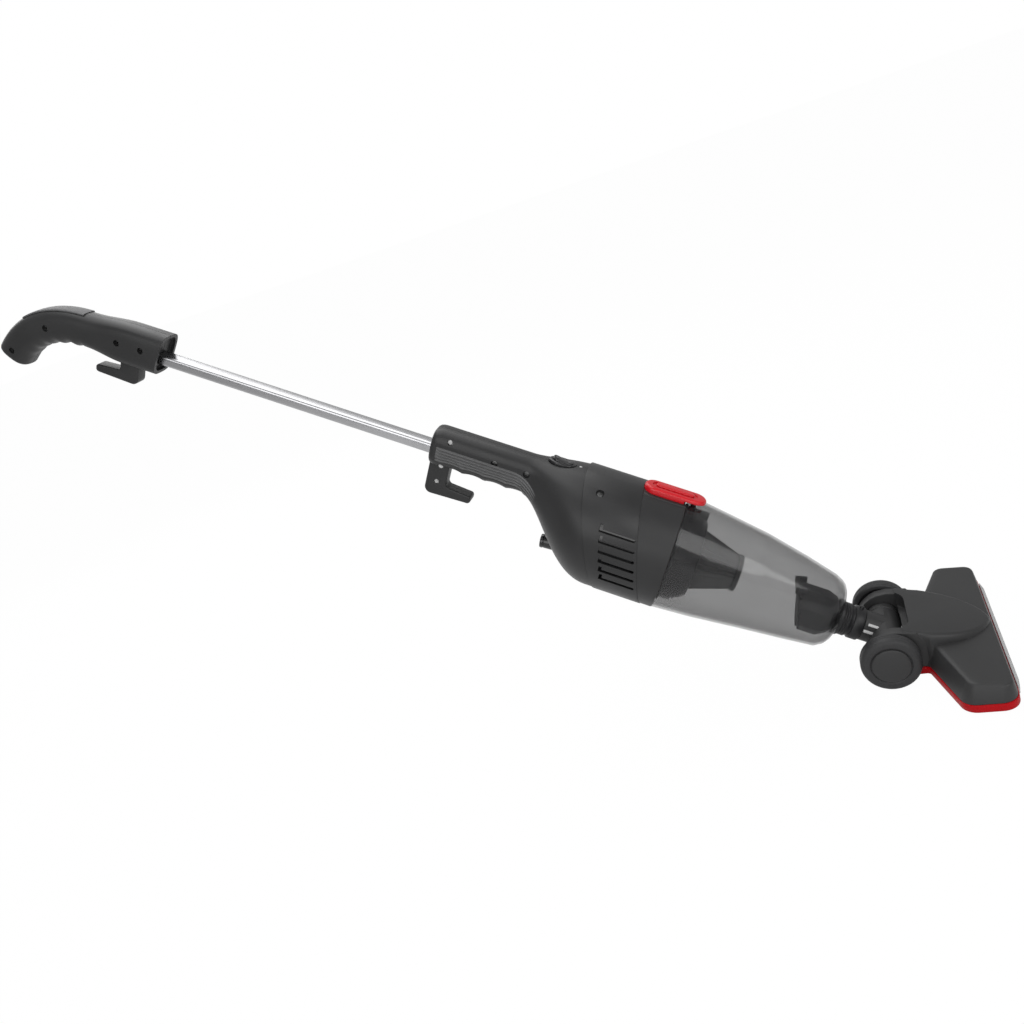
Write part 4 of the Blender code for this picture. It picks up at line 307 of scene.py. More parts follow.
# %% Moulded plastics
def moulded(name, colour, roughness, grain=0.00035, depth=0.00003, rounded=0.0005, **constants):
    finish = Finish(name, colour, roughness, **constants)
    fine = finish.noise(grain, 3.0)
    clouds = finish.noise(0.045, 4.0)
    rubs = finish.between(finish.noise(0.0016, 2.0, finish.stretched((0.08, 1.0, 1.0))), 0.6, 0.75)
    dusty = tuple(min(1.0, 1.2 * c + 0.003) for c in colour)
    shade = finish.between(clouds, 0.35, 0.75)
    finish.set("Base Color", finish.mixed(shade * 0.5 + fine * 0.2, finish.colour, (*dusty, 1.0)))
    finish.set("Roughness", roughness - 0.05 + shade * 0.08 + fine * 0.05 - rubs * 0.05)
    finish.relief(fine + rubs * 0.25, depth, 0.5, rounded)
    return finish.material


SOFT_SHINE = {"Specular_IOR_Level": 0.30}
SHELL = moulded("satin_charcoal_shell", (0.015, 0.015, 0.0155), 0.40, **SOFT_SHINE)
HEAD_SHELL = moulded("satin_charcoal_head", (0.021, 0.021, 0.0215), 0.46, **SOFT_SHINE)
DARK_PART = moulded("dark_moulding", (0.010, 0.010, 0.011), 0.40, **SOFT_SHINE)
# Gloss black of the switch, boot and filter; the same black also colours the painted-shade sheet
# inside the vents.
GLOSS_BLACK_AND_PAINTED_SHADE = moulded("gloss_black_and_painted_shade", (0.005, 0.005, 0.006), 0.19, depth=0.00001)
GRIP_RUBBER = moulded("ribbed_grip_rubber", (0.055, 0.055, 0.056), 0.42, grain=0.0005,
                      depth=0.00001)
PAD_GREY = moulded("handle_pad_grey", (0.060, 0.060, 0.062), 0.55, grain=0.0006, depth=0.00005)
RED_PLASTIC = moulded("red_gloss_plastic", (0.47, 0.005, 0.011), 0.24, depth=0.00001,
                      Specular_IOR_Level=0.35)
RED_SOLE = moulded("red_sole_plastic", (0.32, 0.0004, 0.003), 0.42, Specular_IOR_Level=0.12)
# Pale grey of the front lip and the switch mark; the same pale grey is painted light in the strap
# eyes and a painted highlight on the knuckle bars.
PALE_GREY_AND_PAINTED_LIGHT = moulded("pale_grey_and_painted_light", (0.42, 0.42, 0.42), 0.5)
TREAD = moulded("wheel_rubber", (0.020, 0.020, 0.021), 0.52, grain=0.0007, depth=0.00006,
                **SOFT_SHINE)
SOLE_RUBBER = moulded("sole_strip_rubber", (0.012, 0.012, 0.012), 0.7, grain=0.0008,
                      depth=0.00008, **SOFT_SHINE)
print("plastics and rubbers ready")

# %% [markdown]
# The pole is bright plated tube.  Polishing runs along it, so its faint lines are noise that
# is stretched along the stick, and they disturb the reflection more than the colour.

# %% Bright and plain metals
def metal(name, colour, roughness, lines):
    finish = Finish(name, colour, roughness, Metallic=1.0)
    streaks = finish.noise(0.0006, 3.0, finish.stretched((lines, 1.0, 1.0)))
    smears = finish.between(finish.noise(0.03, 3.0), 0.4, 0.8)
    dull = tuple(0.82 * c for c in colour)
    finish.set("Base Color", finish.mixed(smears * 0.5, finish.colour, (*dull, 1.0)))
    finish.set("Roughness", roughness + streaks * 0.06 + smears * 0.05)
    finish.relief(streaks, 0.000012, 0.6)
    return finish.material


BRIGHT_POLE = metal("bright_plated_pole", (0.40, 0.40, 0.41), 0.20, 0.01)
PLAIN_STEEL = metal("plain_steel", (0.42, 0.42, 0.43), 0.34, 0.3)
DARK_STEEL = metal("blackened_screw_steel", (0.10, 0.10, 0.10), 0.38, 0.3)
COPPER = metal("lacquered_copper", (0.48, 0.19, 0.07), 0.38, 0.6)

# %% [markdown]
# The cup is clear plastic with a smoke tint.  Real refraction in a thin wall hardly bends
# what lies behind it but costs many rays, so the wall is see-through by Alpha instead, and
# more solid where it is seen edge on, as tinted plastic is.

# %% Smoked clear plastic and pleated filter cloth
def smoked(name, colour, face_on, edge_on):
    finish = Finish(name, colour, 0.15, Coat_Weight=0.4, Coat_Roughness=0.12)
    glance = finish.node("ShaderNodeLayerWeight", {}, {"Blend": 0.35})
    tilt = Value(finish.tree, glance.outputs["Facing"])
    haze = finish.noise(0.03, 4.0)
    finish.set("Alpha", finish.between(tilt, 0.15, 1.0) * (edge_on - face_on) + face_on
               + haze * 0.04 - 0.02)
    finish.set("Roughness", haze * 0.06 + 0.12)
    ripples = finish.noise(0.009, 2.0, finish.stretched((0.2, 1.0, 1.0)))
    finish.relief(ripples, 0.00002, 0.4)
    return finish.material


def pleated(name, colour):
    finish = Finish(name, colour, 0.92)
    fibres = finish.noise(0.0004, 4.0)
    soil = finish.between(finish.noise(0.012, 4.0), 0.35, 0.7)
    soiled = tuple(0.6 * c for c in colour)
    finish.set("Base Color",
               finish.mixed(soil * 0.7 + fibres * 0.2, finish.colour, (*soiled, 1.0)))
    finish.relief(fibres, 0.00008, 0.8)
    return finish.material


SMOKE = smoked("smoked_clear_cup", (0.016, 0.016, 0.017), 0.33, 0.62)
PLEATS = pleated("pleated_filter_cloth", (0.10, 0.10, 0.10))

# %% [markdown]
# ## Finishes on the solids that keep their own shape
#
# A solid whose shape is already right only changes its material slot.

# %% Hand the finishes out
FINISH_OF = {
    "charcoal_plastic": SHELL, "black_plastic": GLOSS_BLACK_AND_PAINTED_SHADE, "soft_grey_rubber": GRIP_RUBBER,
    "bright_steel": BRIGHT_POLE, "plain_steel": PLAIN_STEEL, "copper_winding": COPPER,
    "red_plastic": RED_PLASTIC, "smoked_clear_plastic": SMOKE, "filter_cloth": PLEATS,
    "rubber": SOLE_RUBBER, "pale_grey_plastic": PALE_GREY_AND_PAINTED_LIGHT,
}
SLOT_OF = {item["node"]: item["material_slot"] for item in frame["record"]["subparts"]}
for node, obj in frame["nodes"].items():
    chosen = FINISH_OF[SLOT_OF[node]]
    if node.startswith("head_top"):
        chosen = HEAD_SHELL
    if node.startswith("head_base"):
        chosen = RED_SOLE
    if node in ("latch_leaf", "button_pin"):
        chosen = DARK_PART
    for slot in obj.material_slots:
        slot.material = chosen
print(len(SLOT_OF), "solids have a finish")

# %% [markdown]
# ## Ways to shape a piece
#
# Most shells of the machine are rows of rounded sections, so the first helper lays circles
# along a line, squares them a little and bridges them.  Turned pieces spin a profile, flat
# ones start from a few corners that a vertex bevel rounds, and a carve cuts or joins them.

# %% Sections, lofts and turned shapes
LOFT_SIDES = 112
TURN_STEPS = 96


def loop_edges(verts):
    return list({edge for vert in verts for edge in vert.link_edges})


def squared_circle(bm, sides, half_width, half_height, power, put):
    """A circle whose points move out to a superellipse; put places each (y, z) point."""
    verts = bmesh.ops.create_circle(bm, segments=sides, radius=1.0)["verts"]
    for vert in verts:
        angle = math.atan2(vert.co.y, vert.co.x)
        c, s = math.cos(angle), math.sin(angle)
        vert.co = put(half_width * math.copysign(abs(c) ** (2.0 / power), c),
                      half_height * math.copysign(abs(s) ** (2.0 / power), s))
    return verts


def bridged(bm, loops):
    """Bridge a row of edge loops, close both ends and turn the faces outward."""
    for near, far in zip(loops, loops[1:]):
        bmesh.ops.bridge_loops(bm, edges=near + far)
    for end in (loops[0], loops[-1]):
        bmesh.ops.edgeloop_fill(bm, edges=end)
    bmesh.ops.recalc_face_normals(bm, faces=bm.faces)
    return bm


def loft(sections, sides=LOFT_SIDES):
    """Bridge a row of (half width, half height, power, put) sections."""
    bm = bmesh.new()
    return bridged(bm, [loop_edges(squared_circle(bm, sides, *entry)) for entry in sections])


def turn_to(way):
    """The turn that makes +Z point along way."""
    return Vector((0.0, 0.0, 1.0)).rotation_difference(Vector(way)).to_matrix().to_4x4()


def turned(profile, axis, centre=(0.0, 0.0, 0.0), steps=TURN_STEPS, closed=False):
    """Spin a (radius, distance along the axis) profile through a full turn."""
    bm = bmesh.new()
    verts = [bm.verts.new((radius, 0.0, along)) for radius, along in profile]
    pairs = list(zip(verts, verts[1:])) + ([(verts[-1], verts[0])] if closed else [])
    edges = [bm.edges.new(pair) for pair in pairs]
    bmesh.ops.spin(bm, geom=verts + edges, cent=(0.0, 0.0, 0.0), axis=(0.0, 0.0, 1.0),
                   angle=2.0 * math.pi, steps=steps, use_merge=True)
    bmesh.ops.remove_doubles(bm, verts=bm.verts, dist=0.000001)
    bmesh.ops.recalc_face_normals(bm, faces=bm.faces)
    bmesh.ops.transform(bm, matrix=Matrix.Translation(centre) @ turn_to(axis), verts=bm.verts)
    return bm


def rod(radius, start, end, steps=32, tip=None):
    """A cylinder, or a cone where tip gives its second radius."""
    start, end = Vector(start), Vector(end)
    length = (end - start).length
    return turned([(0.0, 0.0), (radius, 0.0), (radius if tip is None else tip, length),
                   (0.0, length)], (end - start).normalized(), start, steps)


# %% [markdown]
# A flat piece needs only its corners.  A vertex bevel rounds each corner to its own radius
# before the outline is raised, and the result is turned to face along x, y or z.

# %% Flat outlines and blocks
FACING = {
    "Z": Matrix.Identity(4),
    "Y": Matrix.Rotation(math.pi / 2, 4, "X"),
    "X": Matrix(((0, 0, 1, 0), (1, 0, 0, 0), (0, 1, 0, 0), (0, 0, 0, 1))),
}
FACING_SIGN = {"Z": 1.0, "Y": -1.0, "X": 1.0}


def slab(corners, low, high, axis="Z", steps=6):
    """Corners (x, y, radius) as a flat outline, rounded and raised from low to high."""
    bm = bmesh.new()
    verts = [bm.verts.new((x, y, 0.0)) for x, y, radius in corners]
    bm.faces.new(verts)
    count = len(corners)
    for i, (vert, corner) in enumerate(zip(list(verts), corners)):
        if corner[2] <= 0.0:
            continue
        here = Vector(corner[:2])
        before = Vector(corners[i - 1][:2]) - here
        after = Vector(corners[(i + 1) % count][:2]) - here
        reach = corner[2] / math.tan(before.angle(after) / 2.0)
        bmesh.ops.bevel(bm, geom=[vert], offset=reach, offset_type="OFFSET", affect="VERTICES",
                        segments=steps, profile=0.5, material=-1)
    lower, upper = sorted((FACING_SIGN[axis] * low, FACING_SIGN[axis] * high))
    bmesh.ops.translate(bm, vec=(0.0, 0.0, lower), verts=bm.verts)
    raised = bmesh.ops.extrude_face_region(bm, geom=list(bm.faces))
    top = [item for item in raised["geom"] if isinstance(item, bmesh.types.BMVert)]
    bmesh.ops.translate(bm, vec=(0.0, 0.0, upper - lower), verts=top)
    bmesh.ops.recalc_face_normals(bm, faces=bm.faces)
    bmesh.ops.transform(bm, matrix=FACING[axis], verts=bm.verts)
    return bm


def capsule(middle, length, width, steps=16):
    """Corners of a slot with round ends, lying along x."""
    radius = width / 2.0
    points = []
    for i in range(2 * steps + 2):
        angle = math.pi * (i - (1 if i > steps else 0)) / steps - math.pi / 2.0
        end = middle + math.copysign(length / 2.0 - radius, steps - i + 0.5)
        points.append((end + radius * math.cos(angle), radius * math.sin(angle), 0.0))
    return points


def block(low, high, turn=Matrix.Identity(4)):
    low, high = Vector(low), Vector(high)
    bm = bmesh.new()
    bmesh.ops.create_cube(bm, size=1.0)
    place = turn @ Matrix.Translation((low + high) / 2.0) @ Matrix.Diagonal((*(high - low), 1.0))
    bmesh.ops.transform(bm, matrix=place, verts=bm.verts)
    return bm


def rounded_edges(bm, width, steps=3, over=40.0):
    """Bevel every edge that turns by more than over degrees."""
    edges = [e for e in bm.edges
             if len(e.link_faces) == 2 and e.calc_face_angle() > math.radians(over)]
    bmesh.ops.bevel(bm, geom=edges, offset=width, offset_type="OFFSET", affect="EDGES",
                    segments=steps, profile=0.5, material=-1, clamp_overlap=True)
    return bm


def cut_off(bm, place, way):
    """Clear everything beyond a plane and close the cut."""
    found = bmesh.ops.bisect_plane(bm, geom=[*bm.verts, *bm.edges, *bm.faces], plane_co=place,
                                   plane_no=way, clear_outer=True)
    edges = [item for item in found["geom_cut"] if isinstance(item, bmesh.types.BMEdge)]
    bmesh.ops.triangle_fill(bm, edges=edges, use_beauty=True)
    bmesh.ops.recalc_face_normals(bm, faces=bm.faces)
    return bm


# %% [markdown]
# Booleans need objects, so a carve makes loose ones for a moment and removes them again.
# Every finished piece then passes through one function, which places it, shades it and ties
# it to the body that it moves with.

# %% Carving, and handing a finished piece to its body
def loose_object(bm, name="tool"):
    mesh = bpy.data.meshes.new(name)
    bm.to_mesh(mesh)
    bm.free()
    made = bpy.data.objects.new(name, mesh)
    bpy.context.scene.collection.objects.link(made)
    return made


def carve(bm, tools, operation="DIFFERENCE"):
    """Cut tools out of a shape, or join them to it, with exact Booleans."""
    base = loose_object(bm, "base")
    used = [loose_object(tool) for tool in tools]
    for tool in used:
        step = base.modifiers.new("carve", "BOOLEAN")
        step.operation = operation
        step.solver = "EXACT"
        step.object = tool
    shaped = base.evaluated_get(bpy.context.evaluated_depsgraph_get())
    mesh = bpy.data.meshes.new_from_object(shaped)
    result = bmesh.new()
    result.from_mesh(mesh)
    bpy.data.meshes.remove(mesh)
    for item in [base, *used]:
        mesh = item.data
        bpy.data.objects.remove(item)
        bpy.data.meshes.remove(mesh)
    return result


def piece(name, bm, place, finish, body, *nodes, sharp=32.0, slot=None):
    """Place a shape, shade it smooth between sharp edges, and let it ride on its body."""
    bmesh.ops.remove_doubles(bm, verts=bm.verts, dist=0.000002)
    bmesh.ops.dissolve_degenerate(bm, dist=0.000001, edges=bm.edges)
    bmesh.ops.transform(bm, matrix=place, verts=bm.verts)
    mesh = bpy.data.meshes.new(name)
    bm.to_mesh(mesh)
    bm.free()
    mesh.shade_smooth()
    mesh.set_sharp_from_angle(angle=math.radians(sharp))
    mesh.materials.append(finish)
    made = bpy.data.objects.new(name, mesh)
    bpy.context.scene.collection.objects.link(made)
    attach(made, body)
    if nodes:
        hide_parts(*nodes)
    print(name, len(mesh.polygons), "faces on", body)
    return made


# %% [markdown]
# ## The lines along the stick
#
# Everything on the stick is measured from the wheel axle, backwards along the neck's own
# line.  The pole, the grip and the motor each lie on a line of their own above it.  Pieces
# that move or come apart are kept a small gap from each other.

# %% Stations and lines of the stick, in metres
CUP_FRONT, CUP_REAR = -49.0 * MM, -217.0 * MM
CASING_REAR, HOUSING_REAR = -294.5 * MM, -469.0 * MM
HANDLE_FRONT, HANDLE_BEND = -764.0 * MM, -850.0 * MM
POLE_LINE, GRIP_LINE, MOTOR_LINE = 38.5 * MM, 42.4 * MM, 11.0 * MM
GRIP_HALF_HEIGHT, GRIP_HALF_WIDTH = 19.7 * MM, 16.6 * MM
CASING_RADIUS = 57.0 * MM
SEAM_TILT = math.radians(20.8)
SEAM_HALF, GAP = 0.15 * MM, 0.3 * MM
SIDES = (("left", 1.0), ("right", -1.0))
print("stick runs from", HANDLE_BEND, "to", CUP_FRONT)

# %% [markdown]
# The grip and the handle are both moulded as two mirrored halves, so one function cuts a
# carved body down its middle and hands over the two shells.

# %% Two half shells
def half_shells(bm, name, body, node):
    """Cut a body in two along its middle, with a hairline seam between the halves."""
    for side_name, side in SIDES:
        shell = cut_off(bm.copy(), (0.0, side * SEAM_HALF, 0.0), (0.0, -side, 0.0))
        piece(name + side_name, shell, ALONG_STICK, SHELL, body, node + side_name)
    bm.free()


# %% [markdown]
# ## Hand unit: grip and dome
#
# On the real machine two mirrored half shells make the grip and the rear dome.  The grip is
# a soft square in section, hollowed underneath for the fingers, and swells into the round
# motor housing along an S curve.  A loft of many sections follows that best.  Below a
# sharp crease the side of the grip lies a little deeper, where the ribs are.

# %% Sections of the grip and the dome
GRIP_LENGTH, DOME_LENGTH = 99.0 * MM, 85.0 * MM
CREASE_STEP = 0.6 * MM


def swell(x):
    t = min(1.0, max(0.0, (x - HOUSING_REAR - GRIP_LENGTH) / DOME_LENGTH))
    return math.sin(math.pi / 2.0 * t**0.8) ** 2


def body_size(x):
    """Middle line, half width, half height and squareness of the hand unit at x."""
    mix = swell(x)
    return (GRIP_LINE + mix * (MOTOR_LINE - GRIP_LINE),
            GRIP_HALF_WIDTH + mix * (CASING_RADIUS - GRIP_HALF_WIDTH),
            GRIP_HALF_HEIGHT + mix * (CASING_RADIUS - GRIP_HALF_HEIGHT), 3.0 - 0.9 * mix)


def body_top(x):
    line, _, half_height, _ = body_size(x)
    return line + half_height


def body_side(x, z):
    """Half width of the hand unit's surface at (x, z)."""
    line, half_width, half_height, power = body_size(x)
    share = min(0.999, abs(z - line) / half_height)
    return half_width * (1.0 - share**power) ** (1.0 / power)


def crease_height(x):
    return 49.0 * MM + (x + 461.0 * MM) * 0.013


def finger_push(x):
    start, stop = HOUSING_REAR + 14.0 * MM, HOUSING_REAR + GRIP_LENGTH
    if not start < x < stop:
        return 0.0
    return 2.0 * MM * abs(math.sin(math.pi * (x - start) / (22.5 * MM))) ** 0.8


def grip_section(x, scale=1.0):
    line, half_width, half_height, power = body_size(x)
    fade = min(1.0, max(0.0, (x - HOUSING_REAR - 2.0 * MM) / (6.0 * MM)))
    fade *= min(1.0, max(0.0, (HOUSING_REAR + GRIP_LENGTH + 22.0 * MM - x) / (24.0 * MM)))

    def put(y, z):
        under = -z / half_height
        if under > 0.0:
            z += finger_push(x) * under
        below = min(1.0, max(0.0, (crease_height(x) - line - z) / (0.7 * MM)))
        if under < 0.8:
            y -= math.copysign(CREASE_STEP * fade * below * (1.0 - max(0.0, under) / 0.8), y)
        return Vector((x, y, line + z))
    return half_width * scale, half_height * scale, power, put


stations = [(HOUSING_REAR, 0.80), (HOUSING_REAR + 0.8 * MM, 0.88),
            (HOUSING_REAR + 2.4 * MM, 0.945), (HOUSING_REAR + 5.0 * MM, 0.985)]
stations += [(HOUSING_REAR + (8.0 + 2.0 * i) * MM, 1.0) for i in range(46)]
stations += [(HOUSING_REAR + (100.0 + 3.0 * i) * MM, 1.0) for i in range(42)]
housing = loft([grip_section(x, scale) for x, scale in stations])


def seam_plane(offset):
    """A point and the forward normal of the slanted seam between dome and casing."""
    normal = Vector((math.cos(SEAM_TILT), 0.0, math.sin(SEAM_TILT)))
    return Vector((CASING_REAR, 0.0, MOTOR_LINE)) + normal * offset, normal


cut_off(housing, *seam_plane(0.0))
print("grip and dome:", len(housing.faces), "faces before carving")

# %% [markdown]
# The lower cord hook is one piece with the shells.  Three small eyes for a strap go right
# through, two deep wells hold the grip's screws, and an oval bed takes the switch.  The
# carving is done on the whole body, which is then cut in two along its middle.

# %% Hook, eyes, wells and the two half shells
HOOK_HALF_WIDTH = 7.5 * MM
HOOK_STEM, HOOK_ARM, HOOK_REACH = 21.0 * MM, 10.0 * MM, 28.0 * MM


def hook_shape(anchor, root, drop, way):
    """Side view of a cord hook: a stem down from root and an arm along way."""
    foot, tip = root - drop, anchor + way * (HOOK_STEM + HOOK_REACH)
    return [(anchor, root, 0.0), (anchor, foot, 7.0 * MM), (tip, foot + 2.0 * MM, 3.5 * MM),
            (tip, foot + HOOK_ARM, 3.2 * MM),
            (anchor + way * HOOK_STEM, foot + HOOK_ARM + 2.0 * MM, 4.0 * MM),
            (anchor + way * HOOK_STEM, root, 0.0)]


hook_side = hook_shape(HOUSING_REAR + 1.0 * MM, GRIP_LINE - GRIP_HALF_HEIGHT + 8.0 * MM,
                       40.0 * MM, 1.0)
lower_hook = rounded_edges(slab(hook_side, -HOOK_HALF_WIDTH, HOOK_HALF_WIDTH, "Y"), 1.5 * MM)
housing = carve(housing, [lower_hook], "UNION")

POLE_WIDTH, POLE_HEIGHT, POLE_CORNER = 16.0 * MM, 11.5 * MM, 3.2 * MM


def pole_shape(grow):
    w, h, r = POLE_WIDTH / 2.0 + grow, POLE_HEIGHT / 2.0 + grow, POLE_CORNER + grow
    return [(-w, POLE_LINE - h, r), (w, POLE_LINE - h, r), (w, POLE_LINE + h, r),
            (-w, POLE_LINE + h, r)]


EYE_RADIUS, WELL_RADIUS = 2.6 * MM, 3.5 * MM
THROUGH = 30.0 * MM           # how far a cutter runs on past the middle
STRAP_EYES = ((-450.0, 54.4), (-455.0, 25.9), (-457.0, 5.7))
GRIP_SCREWS = ((-403.0, 47.9), (-370.0, 47.9))
SWITCH_X = HOUSING_REAR + 128.0 * MM
SWITCH_TOP = body_top(SWITCH_X)
tools = [slab(pole_shape(0.4 * MM), HOUSING_REAR - 10.0 * MM, HOUSING_REAR + 40.0 * MM, "X")]
for x, z in STRAP_EYES:
    tools.append(rod(EYE_RADIUS, (x * MM, -THROUGH, z * MM), (x * MM, THROUGH, z * MM)))
for x, z in GRIP_SCREWS:
    tools.append(rod(WELL_RADIUS, (x * MM, -GRIP_HALF_WIDTH + 3.4 * MM, z * MM),
                     (x * MM, -THROUGH, z * MM)))


def oval(length, width, levels, steps=64):
    """Stacked oval sections about the switch, as (height, how much smaller)."""
    def put_at(height):
        return lambda y, z: Vector((SWITCH_X + y, z, height))
    return loft([(length / 2.0 - less, width / 2.0 - less, 2.2, put_at(height))
                 for height, less in levels], steps)


BEZEL_LENGTH, BEZEL_WIDTH = 27.0 * MM, 17.0 * MM
tools.append(oval(BEZEL_LENGTH + 0.8 * MM, BEZEL_WIDTH + 0.8 * MM,
                  ((SWITCH_TOP - 5.0 * MM, 0.0), (SWITCH_TOP + 8.0 * MM, 0.0))))
GLAND_ROOT = Vector((HOUSING_REAR + 147.0 * MM, 0.0, MOTOR_LINE - 33.0 * MM))
GLAND_WAY = Vector((-1.0, 0.0, -0.12)).normalized()
GLAND_HOLE = 7.4 * MM
tools.append(rod(GLAND_HOLE, GLAND_ROOT - GLAND_WAY * 4.0 * MM,
                 GLAND_ROOT + GLAND_WAY * 33.0 * MM))
housing = carve(housing, tools)
half_shells(housing, "grip_and_dome_", "hand_unit", "rear_housing_")

# %% [markdown]
# The ribbed strips let the hand hold on.  A flat grid laid on the surface and pushed out in
# waves makes the ribs, and it can follow the grip as it bends down into the dome.

# %% Ribbed grip strips
RIB_LOW, RIB_PITCH, RIB_COUNT = 31.0 * MM, 3.15 * MM, 5
RIB_START, RIB_STOP = HOUSING_REAR + 7.0 * MM, HOUSING_REAR + 122.0 * MM
RIB_HEIGHT, RIB_BED = 1.05 * MM, 0.15 * MM
STRIP_DEPTH = 1.6 * MM


def smooth_step(value, low, high):
    t = min(1.0, max(0.0, (value - low) / (high - low)))
    return t * t * (3.0 - 2.0 * t)


for side_name, side in SIDES:
    strip = bmesh.new()
    bmesh.ops.create_grid(strip, x_segments=70, y_segments=RIB_COUNT * 10, size=0.5)
    for vert in strip.verts:
        u, v = vert.co.x + 0.5, vert.co.y + 0.5
        x = RIB_START + (RIB_STOP - RIB_START) * u
        drop = smooth_step(x, HOUSING_REAR + 86.0 * MM, HOUSING_REAR + 150.0 * MM)
        z = RIB_LOW + RIB_COUNT * RIB_PITCH * v - 34.0 * MM * drop
        ends = smooth_step(u, 0.0, 0.03) * smooth_step(1.0 - u, 0.0, 0.22)
        wave = (0.5 - 0.5 * math.cos(2.0 * math.pi * RIB_COUNT * v)) ** 0.7
        edge = smooth_step(min(v, 1.0 - v), 0.0, 0.02)
        out = RIB_BED * edge + RIB_HEIGHT * wave * ends - 0.9 * CREASE_STEP
        line, _, half_height, _ = body_size(x)
        lift = finger_push(x) * max(0.0, (line - z) / half_height)
        vert.co = Vector((x, side * (body_side(x, z) + out), z + lift))
    bmesh.ops.recalc_face_normals(strip, faces=strip.faces)
    if sum((f.normal.y * side for f in strip.faces)) < 0.0:
        bmesh.ops.reverse_faces(strip, faces=strip.faces)
    bmesh.ops.solidify(strip, geom=strip.faces, thickness=STRIP_DEPTH)
    piece("grip_ribs_" + side_name, strip, ALONG_STICK, GRIP_RUBBER, "hand_unit",
          "grip_insert_" + side_name, sharp=60.0)

# %% [markdown]
# Each strap eye holds a short pale plug, sunk a little below the surface, so the eye reads
# as a bright spot with a dark rim.  The pale plug is painted light: it stands in for the
# bright background seen through the eye.  One rod through both walls serves both sides.

# %% Pale plugs in the strap eyes, painted light in place of the background seen through
EYE_DEPTH = 1.6 * MM
for number, (x, z) in enumerate(STRAP_EYES):
    x, z = x * MM, z * MM
    wall = HOOK_HALF_WIDTH if z < GRIP_LINE - GRIP_HALF_HEIGHT else body_side(x, z)
    # a pale rod: painted light in place of the bright background seen through the eye
    painted_light_or_shade = rod(2.5 * MM, (x, EYE_DEPTH - wall, z), (x, wall - EYE_DEPTH, z), 28)
    piece("strap_eye_%d" % (number + 1), painted_light_or_shade, ALONG_STICK, PALE_GREY_AND_PAINTED_LIGHT, "hand_unit",
          slot="pale_grey_plastic")

# %% [markdown]
# ## Motor casing
#
# The casing is a short squared tube cut along a slanted plane, so the seam with the dome
# runs forward as it goes down.  A second, slightly smaller band in front of a parallel plane
# leaves a fine step that catches the light.  The six hooked vents are cut with flat slabs
# whose corners are rounded, and a thin near-black sheet just inside the wall is painted
# shade that closes the view behind them.

# %% Casing with its step, button seat and vents
CASING_OUT = CASING_RADIUS + 0.7 * MM
CASING_WALL = 2.8 * MM
CASING_FRONT = CUP_REAR - 0.3 * MM
BAND_STEP, BAND_PLACE, BAND_TILT = 0.55 * MM, -243.0 * MM, math.radians(16.0)
BUTTON_LENGTH, BUTTON_WIDTH, BUTTON_PROUD = 60.0 * MM, 22.0 * MM, 4.6 * MM
BUTTON_MIDDLE = CUP_REAR + 17.0 * MM - BUTTON_LENGTH / 2.0
BUTTON_TOP = MOTOR_LINE + CASING_OUT + BUTTON_PROUD
BUTTON_PIVOT = Vector((CUP_REAR - 12.0 * MM, 0.0, MOTOR_LINE + CASING_RADIUS - 4.5 * MM))
BUTTON_FOOT = BUTTON_PIVOT.z - 2.5 * MM
VENT_COUNT, VENT_PITCH = 6, 9.7 * MM
VENT_LENGTH, VENT_HEIGHT, VENT_HOOK = 35.0 * MM, 3.0 * MM, 4.2 * MM
VENT_REACH = (0.03, 0.07)     # how far out from the middle the vents' slabs begin and end
# Size of the near-black sheet just inside the casing wall, which is painted shade behind the
# vents.
SHADE_SHEET_LENGTH, SHADE_SHEET_THICKNESS, SHADE_SHEET_PLAY = 42.0 * MM, 1.2 * MM, 0.4 * MM


def tube_ring(x, radius, power=2.1):
    return radius, radius, power, lambda y, z: Vector((x, y, MOTOR_LINE + z))


def tilted(angle):
    return Vector((math.cos(angle), 0.0, math.sin(angle)))


casing = loft([tube_ring(CASING_REAR - 45.0 * MM, CASING_OUT),
               tube_ring(CASING_FRONT, CASING_OUT)])
front_band = loft([tube_ring(CASING_REAR - 45.0 * MM, CASING_OUT - BAND_STEP),
                   tube_ring(CASING_FRONT - 0.6 * MM, CASING_OUT - BAND_STEP),
                   tube_ring(CASING_FRONT, CASING_OUT - BAND_STEP - 0.6 * MM)])
seam_at, seam_way = seam_plane(0.3 * MM)
cut_off(casing, (BAND_PLACE, 0.0, MOTOR_LINE), tilted(BAND_TILT))
for shape in (casing, front_band):
    cut_off(shape, seam_at, -seam_way)
rounded_edges(casing, 0.7 * MM, 3)
seat_plan = capsule(BUTTON_MIDDLE - 4.0 * MM, BUTTON_LENGTH + 2.0 * MM, BUTTON_WIDTH + 10.0 * MM)
seat = slab(seat_plan, BUTTON_PIVOT.z - 6.0 * MM, BUTTON_TOP - BUTTON_PROUD - 1.5 * MM)
rounded_edges(seat, 0.8 * MM)
casing = carve(casing, [front_band, seat], "UNION")
bore = rod(CASING_OUT - CASING_WALL, (-0.36, 0.0, MOTOR_LINE), (-0.2, 0.0, MOTOR_LINE), 96)
well = slab(capsule(BUTTON_MIDDLE, BUTTON_LENGTH + 1.0 * MM, BUTTON_WIDTH + 1.0 * MM),
            BUTTON_PIVOT.z - 20.0 * MM, BUTTON_TOP + 20.0 * MM)
front_face = block((CASING_FRONT, -0.1, -0.1), (CUP_REAR + 0.1, 0.1, 0.16))
tools = [front_face]


def vent_corners(x, z):
    half = VENT_HEIGHT / 2.0
    return [(x, z - half, 1.0 * MM), (x + VENT_LENGTH, z - half, 1.4 * MM),
            (x + VENT_LENGTH, z + half, 1.2 * MM), (x + VENT_HEIGHT, z + half, 0.6 * MM),
            (x + VENT_HEIGHT, z + half + VENT_HOOK, 0.8 * MM),
            (x, z + half + VENT_HOOK, 0.8 * MM)]


